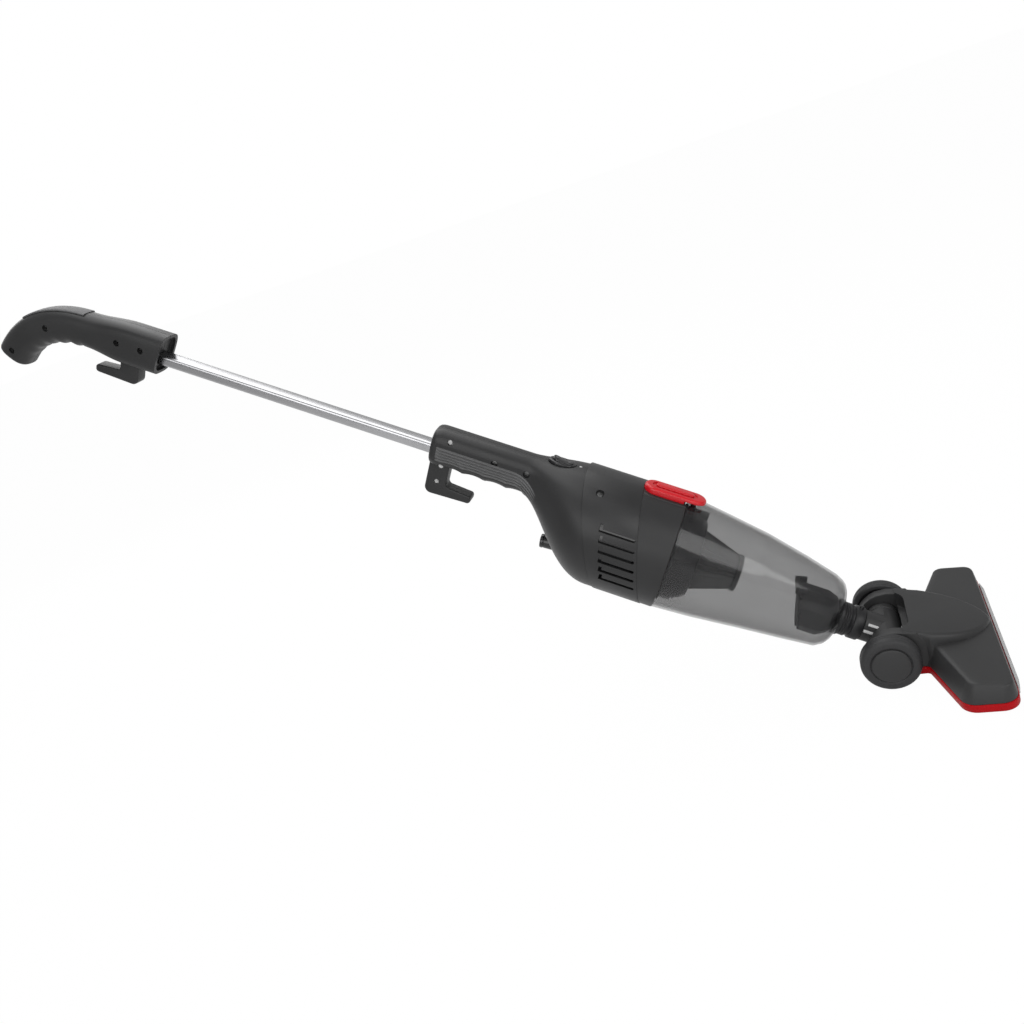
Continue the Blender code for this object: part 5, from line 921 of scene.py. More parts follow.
for side_name, side in SIDES:
    near, far = sorted(side * reach for reach in VENT_REACH)
    for i in range(VENT_COUNT):
        lift = (i - (VENT_COUNT - 1) / 2.0) * VENT_PITCH
        x = CASING_REAR + 14.0 * MM - lift * math.tan(SEAM_TILT) * 0.7
        tools.append(slab(vent_corners(x, MOTOR_LINE + lift), near, far, "Y", 3))
screw_angle = math.radians(58.0)
screw_out = Vector((0.0, -math.cos(screw_angle), math.sin(screw_angle)))
screw_at = Vector((CASING_REAR - 2.0 * MM, 0.0, MOTOR_LINE)) + screw_out * (CASING_OUT + 0.2 * MM)
tools.append(rod(4.0 * MM, screw_at - screw_out * 2.0 * MM, screw_at + screw_out * 10.0 * MM, 40))
casing = carve(carve(casing, [bore]), [well, *tools])
piece("casing_with_vents", casing, ALONG_STICK, SHELL, "hand_unit", "motor_casing")
# A near-black sheet just inside the casing wall: painted shade that makes the vent slots read
# dark.
outer = CASING_OUT - CASING_WALL - SHADE_SHEET_PLAY
inner = outer - SHADE_SHEET_THICKNESS
painted_light_or_shade = turned([(inner, 0.0), (outer, 0.0), (outer, SHADE_SHEET_LENGTH), (inner, SHADE_SHEET_LENGTH)],
               (1.0, 0.0, 0.0), (CASING_REAR + 3.0 * MM, 0.0, MOTOR_LINE), 96, True)
piece("painted_shade_sheet", painted_light_or_shade, ALONG_STICK, GLOSS_BLACK_AND_PAINTED_SHADE, "hand_unit", slot="black_plastic")

# %% [markdown]
# A screw sits at the bottom of each well.  It is a small turned head with a cross, and the
# same shape serves every recess on the right side.

# %% Recessed screws
def screw(name, radius, place, way, body):
    """A domed head with a cross recess, facing along way from place."""
    profile = [(0.0, -1.2 * MM), (radius, -1.2 * MM), (radius, 0.0), (radius * 0.9, 0.35 * MM),
               (radius * 0.5, 0.6 * MM), (0.0, 0.7 * MM)]
    head = turned(profile, (0.0, 0.0, 1.0), steps=32)
    long, wide = radius * 0.62, radius * 0.16
    cross = [block((-long, -wide, 0.0), (long, wide, 2.0 * MM)),
             block((-wide, -long, 0.0), (wide, long, 2.0 * MM))]
    head = carve(head, cross)
    bmesh.ops.transform(head, matrix=Matrix.Translation(place) @ turn_to(way), verts=head.verts)
    piece(name, head, ALONG_STICK, DARK_STEEL, body, slot="plain_steel")


TO_THE_RIGHT = (0.0, -1.0, 0.0)
screw("casing_screw", 2.9 * MM, screw_at - screw_out * 1.8 * MM, screw_out, "hand_unit")
for number, (x, z) in enumerate(GRIP_SCREWS):
    place = Vector((x * MM, -GRIP_HALF_WIDTH + 3.2 * MM, z * MM))
    screw("grip_screw_%d" % (number + 1), 2.7 * MM, place, TO_THE_RIGHT, "hand_unit")

# %% [markdown]
# ## Switch
#
# The rocker sits in a raised oval frame.  Its dished top comes from an arch drawn as a flat
# outline, raised sideways, and then trimmed to a round-ended plan.

# %% Switch frame and rocker
ROCKER_LENGTH, ROCKER_WIDTH = 20.0 * MM, 10.5 * MM
opening = slab(capsule(SWITCH_X, ROCKER_LENGTH + 0.8 * MM, ROCKER_WIDTH + 0.8 * MM),
               SWITCH_TOP - 0.02, SWITCH_TOP + 0.02)
bezel = carve(oval(BEZEL_LENGTH, BEZEL_WIDTH, (
    (SWITCH_TOP - 5.0 * MM, 0.8 * MM), (SWITCH_TOP + 1.0 * MM, 0.0),
    (SWITCH_TOP + 1.7 * MM, 0.25 * MM), (SWITCH_TOP + 2.1 * MM, 0.8 * MM),
    (SWITCH_TOP + 2.2 * MM, 1.5 * MM))), [opening])
piece("switch_frame", bezel, ALONG_STICK, GLOSS_BLACK_AND_PAINTED_SHADE, "hand_unit", "switch_bezel")

half = ROCKER_LENGTH / 2.0
arch = [(-half + ROCKER_LENGTH * i / 16, 1.1 * MM + 1.5 * MM * ((i - 8) / 8.0) ** 2, 0.0)
        for i in range(17)]
arch += [(half, -1.2 * MM, 0.0), (3.0 * MM, -4.7 * MM, 0.0), (-3.0 * MM, -4.7 * MM, 0.0),
         (-half, -1.2 * MM, 0.0)]
rocker = carve(slab(arch, -ROCKER_WIDTH / 2.0, ROCKER_WIDTH / 2.0, "Y"),
               [slab(capsule(0.0, ROCKER_LENGTH, ROCKER_WIDTH), -half, half)], "INTERSECT")
rounded_edges(rocker, 0.35 * MM, 2)
ON_ROCKER = (ALONG_STICK @ Matrix.Translation((SWITCH_X, 0.0, SWITCH_TOP + 1.5 * MM))
             @ Matrix.Rotation(math.radians(6.0), 4, "Y"))
piece("rocker_cap", rocker, ON_ROCKER, GLOSS_BLACK_AND_PAINTED_SHADE, "rocker", "power_rocker")
for number, share in enumerate((-0.32, 0.32)):
    x = share * ROCKER_LENGTH
    dot = turned([(0.0, -1.0 * MM), (1.5 * MM, -1.0 * MM), (1.5 * MM, 0.35 * MM),
                  (1.2 * MM, 0.6 * MM), (0.6 * MM, 0.75 * MM), (0.0, 0.8 * MM)],
                 (0.0, 0.0, 1.0), (x, 0.0, 1.75 * MM), 24)
    piece("rocker_dot_%d" % (number + 1), dot, ON_ROCKER, PAD_GREY, "rocker", slot="black_plastic")
mark_x = SWITCH_X + 18.0 * MM
mark_at = Vector((mark_x, 0.0, body_top(mark_x)))
mark = turned([(0.0, -0.6 * MM), (1.3 * MM, -0.6 * MM), (1.3 * MM, 0.3 * MM), (0.0, 0.5 * MM)],
              (0.0, 0.0, 1.0), mark_at, 20)
piece("switch_mark", mark, ALONG_STICK, PALE_GREY_AND_PAINTED_LIGHT, "hand_unit", slot="pale_grey_plastic")

# %% [markdown]
# ## Release lever and cord boot
#
# The red lever is a round-ended slab with a large edge radius.  A shallow dish is cut into
# its top and a raised bar stands in it, and its underside is hollowed for the latch.

# %% Release lever
lever = rounded_edges(slab(capsule(BUTTON_MIDDLE, BUTTON_LENGTH, BUTTON_WIDTH),
                           BUTTON_FOOT, BUTTON_TOP), 2.6 * MM, 5)
bar = rounded_edges(slab(capsule(BUTTON_MIDDLE - 1.0 * MM, BUTTON_LENGTH * 0.62, 7.0 * MM),
                         BUTTON_TOP - 2.5 * MM, BUTTON_TOP + 1.3 * MM), 1.0 * MM, 4)
dish = slab(capsule(BUTTON_MIDDLE - 1.0 * MM, BUTTON_LENGTH * 0.74, 11.5 * MM),
            BUTTON_TOP - 1.1 * MM, BUTTON_TOP + 9.0 * MM)
lever = carve(carve(lever, [dish]), [bar], "UNION")
lever = carve(lever, [
    block((CUP_REAR - 3.0 * MM, -0.03, BUTTON_FOOT - 0.01),
          (CUP_REAR + 0.06, 0.03, MOTOR_LINE + CASING_OUT + 1.2 * MM)),
    rod(1.3 * MM, BUTTON_PIVOT - Vector((0.0, 0.03, 0.0)), BUTTON_PIVOT + Vector((0.0, 0.03, 0.0)),
        24),
    block((BUTTON_MIDDLE - 22.0 * MM, -7.0 * MM, BUTTON_FOOT - 0.01),
          (BUTTON_PIVOT.x - 6.0 * MM, 7.0 * MM, BUTTON_FOOT + 4.0 * MM))])
piece("release_lever", lever, ALONG_STICK, RED_PLASTIC, "button", "release_button")

# %% [markdown]
# The boot that takes the mains cord is a short smooth sleeve with a rolled lip.  Its profile
# is one row of points, and a spin makes the whole sleeve at once.

# %% Cord boot
BOOT_LENGTH = 19.0 * MM
outside = [(7.2 * MM, 0.0), (7.1 * MM, 9.0 * MM), (6.8 * MM, BOOT_LENGTH - 4.4 * MM),
           (6.5 * MM, BOOT_LENGTH - 4.0 * MM), (6.5 * MM, BOOT_LENGTH - 3.4 * MM),
           (7.0 * MM, BOOT_LENGTH - 3.0 * MM), (7.0 * MM, BOOT_LENGTH - 0.9 * MM),
           (6.7 * MM, BOOT_LENGTH - 0.3 * MM), (6.2 * MM, BOOT_LENGTH)]
boot = turned([(3.6 * MM, 0.0), *outside, (3.6 * MM, BOOT_LENGTH)], GLAND_WAY, GLAND_ROOT, 64,
              True)
piece("cord_boot", boot, ALONG_STICK, GLOSS_BLACK_AND_PAINTED_SHADE, "hand_unit", "cord_gland")

# %% [markdown]
# ## Hook handle and pole
#
# The handle is a square block that bends into a hook.  The bend follows a Bezier curve: its
# point and direction place every section, and a cosine wave lifts the underside between the
# fingers.

# %% Sections along the bent handle
HANDLE_LINE = GRIP_LINE + 1.0 * MM
BLOCK_LENGTH, BLOCK_HALF_WIDTH, BLOCK_HALF_HEIGHT = 86.0 * MM, 17.0 * MM, 21.4 * MM
HANDLE_HALF_WIDTH, HANDLE_HALF_HEIGHT = 16.0 * MM, 17.6 * MM
HANDLE_DROP, HANDLE_OVERHANG = 51.0 * MM, 85.0 * MM
FINGER_PITCH, FINGER_DEPTH = 17.0 * MM, 1.3 * MM
MOUTH_LEAN = 0.2


def handle_spine(t):
    """Point and direction of the bend's middle line, from the block to the end."""
    start = Vector((HANDLE_BEND, 0.0, HANDLE_LINE))
    end = start - Vector((HANDLE_OVERHANG, 0.0, HANDLE_DROP))
    first = start - Vector((HANDLE_OVERHANG * 0.5, 0.0, 0.0))
    second = end + Vector((HANDLE_OVERHANG * 0.17, 0.0, HANDLE_DROP * 0.64))
    u = 1.0 - t
    point = u**3 * start + 3 * u * u * t * first + 3 * u * t * t * second + t**3 * end
    slope = 3 * u * u * (first - start) + 6 * u * t * (second - first) + 3 * t * t * (end - second)
    return point, slope.normalized()


def block_section(share):
    x = HANDLE_FRONT - share * BLOCK_LENGTH
    mix = smooth_step(share, 0.45, 1.0)
    lean = MOUTH_LEAN * (1.0 - share)
    return (BLOCK_HALF_WIDTH + mix * (HANDLE_HALF_WIDTH - BLOCK_HALF_WIDTH),
            BLOCK_HALF_HEIGHT + mix * (HANDLE_HALF_HEIGHT - BLOCK_HALF_HEIGHT), 3.6 - 0.9 * mix,
            lambda y, z: Vector((x + lean * z, y, HANDLE_LINE + z)))


def bend_section(t, half_width, half_height, power=2.7, shift=0.0, beyond=0.0, wave=0.0):
    """A section across the bend; shift moves it outward, beyond runs on past the end."""
    point, slope = handle_spine(t)
    outward = Vector((slope.z, 0.0, -slope.x))

    def put(y, z):
        lift = wave * max(0.0, -z / half_height)
        return point + slope * beyond + Vector((0.0, y, 0.0)) + outward * (z + shift + lift)
    return half_width, half_height, power, put


BEND_LENGTH = math.hypot(HANDLE_DROP, HANDLE_OVERHANG)
sections = [block_section(share)
            for share in (0.0, 0.06, 0.12, 0.2, 0.3, 0.4, 0.5, 0.58, 0.66, 0.74, 0.82, 0.9, 1.0)]
for i in range(1, 57):
    t = i / 56
    wave = FINGER_DEPTH * math.cos(2.0 * math.pi * t * BEND_LENGTH / FINGER_PITCH) * (1.0 - t)
    sections.append(bend_section(t, HANDLE_HALF_WIDTH, HANDLE_HALF_HEIGHT, wave=wave))
for angle in (18.0, 36.0, 54.0, 70.0, 82.0):
    shrink = 0.55 + 0.45 * math.cos(math.radians(angle))
    sections.append(bend_section(1.0, HANDLE_HALF_WIDTH * shrink, HANDLE_HALF_HEIGHT * shrink,
                                 beyond=5.0 * MM * math.sin(math.radians(angle))))
handle = loft(sections, 80)
print("handle:", len(handle.faces), "faces before carving")

# %% [markdown]
# The pad on top lies in a groove, so the same sections, a little larger, cut the groove.
# The mouth at the front is recessed, and the pole's socket runs back from it.

# %% Handle shells, pad and upper hook
PAD_START, PAD_STOP = 0.02, 0.62
PAD_HALF_WIDTH, PAD_THICKNESS, PAD_PROUD = 9.5 * MM, 3.0 * MM, 0.7 * MM


def pad_sections(grow, steps):
    shift = HANDLE_HALF_HEIGHT + PAD_PROUD - PAD_THICKNESS / 2.0
    rows = []
    for i in range(steps + 1):
        t = PAD_START + (PAD_STOP - PAD_START) * i / steps
        beyond = grow * (1.0 if i == steps else -1.0 if i == 0 else 0.0)
        rows.append(bend_section(t, PAD_HALF_WIDTH + grow, PAD_THICKNESS / 2.0 + grow, 3.0, shift,
                                 beyond))
    return rows


def mouth_section(x, inset):
    return (BLOCK_HALF_WIDTH - inset, BLOCK_HALF_HEIGHT - inset, 3.6,
            lambda y, z: Vector((x + MOUTH_LEAN * z, y, HANDLE_LINE + z)))


hook_anchor = HANDLE_FRONT - 26.0 * MM
hook_root = HANDLE_LINE - BLOCK_HALF_HEIGHT + 7.0 * MM
tools = [
    loft([mouth_section(HANDLE_FRONT - 4.0 * MM, 4.2 * MM),
          mouth_section(HANDLE_FRONT - 3.0 * MM, 3.6 * MM),
          mouth_section(HANDLE_FRONT + 8.0 * MM, 3.0 * MM)], 80),
    loft(pad_sections(GAP, 24), 48),
    slab(pole_shape(GAP), HANDLE_FRONT - 82.3 * MM, HANDLE_FRONT + 20.0 * MM, "X"),
    block((hook_anchor - HOOK_STEM - GAP, -HOOK_HALF_WIDTH - GAP, hook_root - 20.0 * MM),
          (hook_anchor + GAP, HOOK_HALF_WIDTH + GAP, hook_root + GAP))]
handle_screws = [Vector((HANDLE_FRONT - back * MM, 0.0, GRIP_LINE + 3.0 * MM))
                 for back in (19.0, 46.0)]
handle_screws += [handle_spine(t)[0] for t in (0.38, 0.93)]
for place in handle_screws:
    place.y = -HANDLE_HALF_WIDTH + 3.0 * MM
    tools.append(rod(3.3 * MM, place, place - Vector((0.0, 0.02, 0.0)), 40))
handle = carve(handle, tools)
half_shells(handle, "handle_", "pole_and_handle", "handle_shell_")
for number, place in enumerate(handle_screws):
    screw("handle_screw_%d" % (number + 1), 2.6 * MM, place, TO_THE_RIGHT, "pole_and_handle")

pad = loft(pad_sections(0.0, 60), 48)
ticks = []
for i in range(1, 14):
    t = PAD_START + (PAD_STOP - PAD_START) * i / 14.0
    point, slope = handle_spine(t)
    outward = Vector((slope.z, 0.0, -slope.x))
    turn = Matrix((slope, Vector((0.0, 1.0, 0.0)), outward)).transposed().to_4x4()
    lift = point + outward * (HANDLE_HALF_HEIGHT + PAD_PROUD)
    ticks.append(block((-0.4 * MM, -6.5 * MM, -0.45 * MM), (0.4 * MM, 6.5 * MM, 2.0 * MM),
                       Matrix.Translation(lift) @ turn))
piece("handle_pad", carve(pad, ticks), ALONG_STICK, PAD_GREY, "pole_and_handle", "handle_top_pad")

hook_side = hook_shape(hook_anchor, hook_root, 28.0 * MM, -1.0)
upper_hook = rounded_edges(slab(hook_side, -HOOK_HALF_WIDTH, HOOK_HALF_WIDTH, "Y"), 1.8 * MM, 4)
piece("hook_upper", upper_hook, ALONG_STICK, SHELL, "pole_and_handle", "upper_cord_hook")

# %% [markdown]
# The pole is rolled from strip, and its lock seam shows as a fine groove beside the top
# edge.  The groove is cut along the whole tube and goes halfway through its wall.

# %% Pole with its lock seam
POLE_REAR, POLE_FRONT = HANDLE_FRONT - 82.0 * MM, HOUSING_REAR + 78.0 * MM
pole = slab(pole_shape(0.0), POLE_REAR, POLE_FRONT, "X", 8)
inside = slab(pole_shape(-1.2 * MM), POLE_REAR - 1.0 * MM, POLE_FRONT + 1.0 * MM, "X", 8)
seam = block((POLE_REAR - 1.0 * MM, -POLE_WIDTH / 2.0 - 1.0 * MM,
              POLE_LINE + POLE_HEIGHT / 2.0 - 4.1 * MM),
             (POLE_FRONT + 1.0 * MM, -POLE_WIDTH / 2.0 + 0.6 * MM,
              POLE_LINE + POLE_HEIGHT / 2.0 - 3.3 * MM))
piece("pole_tube", carve(pole, [inside, seam]), ALONG_STICK, BRIGHT_POLE, "pole_and_handle",
      "pole")

# %% [markdown]
# ## Dust cup, filter and inlet duct
#
# The cup is one tapering shell.  A few stations give its top, bottom and width, and the
# sections in between lie evenly from one station to the next.  The inside is the same shape
# made smaller by the wall.

# %% Cup stations and shell
CUP_LENGTH, CUP_WALL = CUP_FRONT - CUP_REAR, 2.2 * MM
CUP_STATIONS = ((0.0, 67.5, -45.5, 55.8), (0.22, 62.2, -43.2, 53.0), (0.5, 55.2, -38.7, 47.5),
                (0.75, 46.0, -35.6, 41.0), (0.93, 38.2, -33.2, 35.0), (0.972, 34.8, -28.5, 32.0),
                (1.0, 31.0, -20.5, 27.5))


def cup_section(share, inset=0.0, push=0.0):
    for low, high in zip(CUP_STATIONS, CUP_STATIONS[1:]):
        if share <= high[0]:
            break
    mix = (share - low[0]) / (high[0] - low[0])
    top, bottom, width = ((low[k] + mix * (high[k] - low[k])) * MM for k in (1, 2, 3))
    x = CUP_REAR + share * CUP_LENGTH + push
    return (width - inset, (top - bottom) / 2.0 - inset, 2.15,
            lambda y, z: Vector((x, y, (top + bottom) / 2.0 + z)))


shares = [0.0, 0.004] + [i / 40.0 for i in range(1, 37)]
shares += [0.915, 0.93, 0.945, 0.958, 0.97, 0.981, 0.99]
cup = loft([cup_section(share) for share in shares] + [
    cup_section(1.0, 0.7 * MM, -0.5 * MM), cup_section(1.0, 2.2 * MM)], 144)
hollow = [cup_section(0.0, CUP_WALL, -1.0 * MM)]
hollow += [cup_section(share, CUP_WALL) for share in shares[1:-1]]
hollow.append(cup_section(1.0 - CUP_WALL / CUP_LENGTH, CUP_WALL + 0.4 * MM))
tools = [loft(hollow, 144),
         rod(14.8 * MM, (CUP_FRONT - 0.02, 0.0, 0.0), (CUP_FRONT + 0.02, 0.0, 0.0), 64),
         block((CUP_REAR + 3.4 * MM, -6.0 * MM, MOTOR_LINE + 40.0 * MM),
               (CUP_REAR + 9.6 * MM, 6.0 * MM, MOTOR_LINE + 70.0 * MM))]
piece("cup_shell", carve(cup, tools), ALONG_STICK, SMOKE, "cup", "dust_cup", sharp=40.0)

# %% [markdown]
# Behind the smoky wall sits the filter: a stepped black collar with bayonet ribs on both
# upper shoulders, a cone of folded cloth, and a round end cap.  The folds are a cosine wave
# in the cone's radius.

# %% Filter collar, pleats and end cap
def skinned(rings):
    """Bridge rings of points and close both ends."""
    bm = bmesh.new()
    loops = []
    for ring in rings:
        verts = [bm.verts.new(point) for point in ring]
        loops.append([bm.edges.new((a, b)) for a, b in zip(verts, verts[1:] + verts[:1])])
    return bridged(bm, loops)


FILTER_LINE = 10.5 * MM
COLLAR_RADIUS, COLLAR_LENGTH = 46.0 * MM, 26.0 * MM
CONE_LENGTH, CONE_BASE, CONE_TIP = 40.0 * MM, 31.0 * MM, 17.5 * MM
PLEATS_ROUND, PLEAT_DEPTH = 28, 4.0 * MM
FILTER_AT = (0.0, 0.0, FILTER_LINE)
rear, front, r = CUP_REAR + GAP, CUP_REAR + GAP + COLLAR_LENGTH, COLLAR_RADIUS
collar_profile = [
    (r - 3.0 * MM, rear), (r - 0.4 * MM, rear), (r, rear + 0.4 * MM), (r, rear + 12.6 * MM),
    (r - 0.5 * MM, rear + 13.2 * MM), (r - 2.3 * MM, rear + 13.4 * MM),
    (r - 2.6 * MM, rear + 13.8 * MM), (r - 2.6 * MM, rear + 16.6 * MM),
    (r - 3.0 * MM, rear + 17.0 * MM), (r - 4.4 * MM, rear + 17.2 * MM),
    (r - 4.8 * MM, rear + 17.6 * MM), (r - 4.8 * MM, rear + 20.6 * MM),
    (r - 5.4 * MM, rear + 21.4 * MM), (r - 9.0 * MM, front),
    (CONE_BASE + 0.5 * MM, front), (CONE_BASE + 0.5 * MM, front - 2.4 * MM),
    (r - 9.6 * MM, front - 3.0 * MM), (r - 7.4 * MM, front - 8.0 * MM)]
collar = turned(collar_profile, (1.0, 0.0, 0.0), FILTER_AT, 128, True)
ribs = []
for angle in (28.0, 45.0, 62.0, 118.0, 135.0, 152.0):
    turn = Matrix.Translation(FILTER_AT) @ Matrix.Rotation(math.radians(90.0 - angle), 4, "X")
    rib = block((rear + 0.6 * MM, -2.1 * MM, r - 7.5 * MM),
                (front - 1.0 * MM, 2.1 * MM, r + 0.9 * MM))
    rounded_edges(rib, 0.7 * MM, 3)
    bmesh.ops.transform(rib, matrix=turn, verts=rib.verts)
    ribs.append(rib)
piece("filter_collar", carve(collar, ribs, "UNION"), ALONG_STICK, GLOSS_BLACK_AND_PAINTED_SHADE, "filter",
      "filter_ring")

cone_start = front - 2.2 * MM
cone_stop = cone_start + CONE_LENGTH


def pleated_cone(thinner, longer):
    """A closed cone whose radius waves in and out once for every fold."""
    rings = []
    for x, radius in ((cone_start - longer, CONE_BASE), (cone_stop + longer, CONE_TIP)):
        ring = []
        for i in range(PLEATS_ROUND * 8):
            angle = 2.0 * math.pi * i / (PLEATS_ROUND * 8)
            fold = (0.5 - 0.5 * math.cos(PLEATS_ROUND * angle)) ** 0.8
            reach = radius - thinner - PLEAT_DEPTH * fold
            ring.append(Vector((x, reach * math.cos(angle),
                                FILTER_LINE + reach * math.sin(angle))))
        rings.append(ring)
    return skinned(rings)


cone = carve(pleated_cone(0.0, 0.0), [pleated_cone(2.0 * MM, 1.0 * MM)])
piece("filter_pleats", cone, ALONG_STICK, PLEATS, "filter", "filter_cone", sharp=75.0)

cap_radius, base = CONE_TIP + 1.0 * MM, cone_stop + GAP
end_cap = turned([(0.0, base), (cap_radius - 1.0 * MM, base), (cap_radius, base + 0.8 * MM),
                  (cap_radius, base + 3.9 * MM), (cap_radius - 0.4 * MM, base + 4.6 * MM),
                  (cap_radius - 1.2 * MM, base + 5.0 * MM),
                  (cap_radius - 3.0 * MM, base + 5.0 * MM),
                  (cap_radius - 3.6 * MM, base + 4.4 * MM), (0.0, base + 4.4 * MM)],
                 (1.0, 0.0, 0.0), FILTER_AT, 96)
piece("filter_cap", end_cap, ALONG_STICK, GLOSS_BLACK_AND_PAINTED_SHADE, "filter", "filter_end_cap")

# %% [markdown]
# The inlet duct stands inside the cup's front end.  Its body is eight-sided, and small round
# bites give its slanted rear rim a scalloped edge.

# %% Inlet duct
DUCT_RADIUS, DUCT_WALL, DUCT_SIDES, DUCT_LIFT = 23.0 * MM, 2.2 * MM, 8, -1.5 * MM
DUCT_FRONT = CUP_FRONT - CUP_WALL - GAP
DUCT_REAR = DUCT_FRONT - 33.0 * MM
DUCT_SLANT = math.radians(15.0)
DUCT_END = Matrix.Translation((DUCT_REAR, 0.0, 0.0)) @ Matrix.Rotation(-DUCT_SLANT, 4, "Y")


def eight_sided(x, half_width, half_height, lift):
    """An octagon with flats at its sides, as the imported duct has."""
    points = []
    for i in range(DUCT_SIDES):
        angle = 2.0 * math.pi * (i + 0.5) / DUCT_SIDES
        points.append(Vector((x, half_width * math.cos(angle),
                              lift + half_height * math.sin(angle))))
    return points


duct = skinned([eight_sided(DUCT_REAR - 20.0 * MM, DUCT_RADIUS, DUCT_RADIUS, DUCT_LIFT),
                eight_sided(DUCT_FRONT - 10.0 * MM, DUCT_RADIUS, DUCT_RADIUS, DUCT_LIFT),
                eight_sided(DUCT_FRONT, DUCT_RADIUS - 4.0 * MM, DUCT_RADIUS - 5.0 * MM, 0.0)])
rounded_edges(duct, 1.2 * MM, 3, 20.0)
flat = DUCT_RADIUS * math.cos(math.pi / DUCT_SIDES)
hinge_z = DUCT_RADIUS + DUCT_LIFT - 0.5 * MM
ears = [block((-5.0 * MM, side * 11.0 * MM - 1.5 * MM, hinge_z - 3.6 * MM),
              (6.0 * MM, side * 11.0 * MM + 1.5 * MM, hinge_z + 2.4 * MM), DUCT_END)
        for _, side in SIDES]
tools = [rod(flat - DUCT_WALL, (DUCT_REAR - 0.03, 0.0, DUCT_LIFT),
             (DUCT_FRONT - 9.0 * MM, 0.0, DUCT_LIFT), 48),
         rod(14.8 * MM, (DUCT_FRONT - 14.0 * MM, 0.0, 0.0), (DUCT_FRONT + 0.01, 0.0, 0.0), 48),
         block((-0.1, -0.06, -0.08), (0.0, 0.06, 0.08), DUCT_END)]
duct = carve(duct, tools)
bites = []
for i in range(20):
    angle = 2.0 * math.pi * (i + 0.5) / 20.0
    if abs(math.degrees(angle) - 90.0) < 36.0:
        continue
    out = Vector((0.0, math.cos(angle), math.sin(angle)))
    middle = DUCT_END @ (out * (DUCT_RADIUS - 1.0 * MM) + Vector((-0.3 * MM, 0.0, DUCT_LIFT)))
    reach = DUCT_END.to_3x3() @ out * 6.0 * MM
    bites.append(rod(1.7 * MM, middle - reach, middle + reach, 16))
duct = carve(duct, bites)
duct = carve(duct, ears, "UNION")
pin_way = DUCT_END @ Vector((-2.8 * MM, 0.0, hinge_z))
duct = carve(duct, [rod(1.5 * MM, pin_way - Vector((0.0, 12.0 * MM, 0.0)),
                        pin_way + Vector((0.0, 12.0 * MM, 0.0)))])
piece("duct_shell", duct, ALONG_STICK, DARK_PART, "cup", "inlet_duct")

# %% [markdown]
# ## Neck, knuckle and wheels
#
# Round pieces again start as half profiles.  Their fine beads and grooves are only a few
# more points in the profile, and every point pair a fraction of a millimetre apart becomes a
# crisp edge that catches the light.

# %% Neck tube with its collar, beads and peg
NECK_RADIUS, NECK_BORE, NECK_COLLAR = 15.5 * MM, 11.4 * MM, 17.2 * MM
SPIGOT_RADIUS, SPIGOT_REAR = 14.5 * MM, CUP_FRONT - 17.0 * MM
COLLAR_REAR, NECK_FRONT = CUP_FRONT + GAP, -24.5 * MM
RING_X, RING_GROOVE, RING_FLOOR = CUP_FRONT - 9.0 * MM, 2.6 * MM, 12.0 * MM
outside = [(SPIGOT_RADIUS - 1.0 * MM, SPIGOT_REAR),
           (SPIGOT_RADIUS - 0.3 * MM, SPIGOT_REAR + 0.3 * MM),
           (SPIGOT_RADIUS, SPIGOT_REAR + 1.0 * MM), (SPIGOT_RADIUS, RING_X - RING_GROOVE / 2.0),
           (RING_FLOOR, RING_X - RING_GROOVE / 2.0), (RING_FLOOR, RING_X + RING_GROOVE / 2.0),
           (SPIGOT_RADIUS, RING_X + RING_GROOVE / 2.0), (SPIGOT_RADIUS, COLLAR_REAR)]
for start, height, length in ((0.0, 0.0, 4.6), (5.6, -1.1, 1.4), (7.8, -1.1, 1.4),
                              (10.0, -1.1, 1.4)):
    top = NECK_COLLAR + height * MM
    at = COLLAR_REAR + start * MM
    outside += [(top - 0.4 * MM, at), (top, at + 0.35 * MM), (top, at + (length - 0.35) * MM),
                (top - 0.4 * MM, at + length * MM), (NECK_RADIUS, at + length * MM + 0.2 * MM)]
outside += [(NECK_RADIUS - 0.8 * MM, NECK_FRONT - 10.6 * MM),
            (NECK_RADIUS - 0.8 * MM, NECK_FRONT - 9.4 * MM),
            (NECK_RADIUS + 0.6 * MM, NECK_FRONT - 9.0 * MM),
            (NECK_RADIUS + 0.8 * MM, NECK_FRONT - 8.6 * MM),
            (NECK_RADIUS + 0.8 * MM, NECK_FRONT - 0.8 * MM),
            (NECK_RADIUS + 0.5 * MM, NECK_FRONT - 0.2 * MM), (NECK_RADIUS, NECK_FRONT)]
neck = turned([(NECK_BORE, SPIGOT_REAR), *outside, (NECK_BORE, NECK_FRONT)], (1.0, 0.0, 0.0),
              steps=112, closed=True)
peg_x = NECK_FRONT - 5.0 * MM
peg = rod(2.4 * MM, (peg_x, 0.0, NECK_RADIUS - 2.0 * MM), (peg_x, 0.0, NECK_RADIUS + 3.4 * MM),
          32, 1.8 * MM)
rounded_edges(peg, 0.5 * MM)
piece("neck_sleeve", carve(neck, [peg], "UNION"), ALONG_STICK, DARK_PART, "neck", "neck_tube")

# %% [markdown]
# The knuckle is a drum that lies across the machine, with a stub that turns in the neck.
# Both are turned and joined, then the air's way and the axle's hole are bored.  Two raised
# bars lie along the near side of the stub, and their pale grey is a painted highlight.

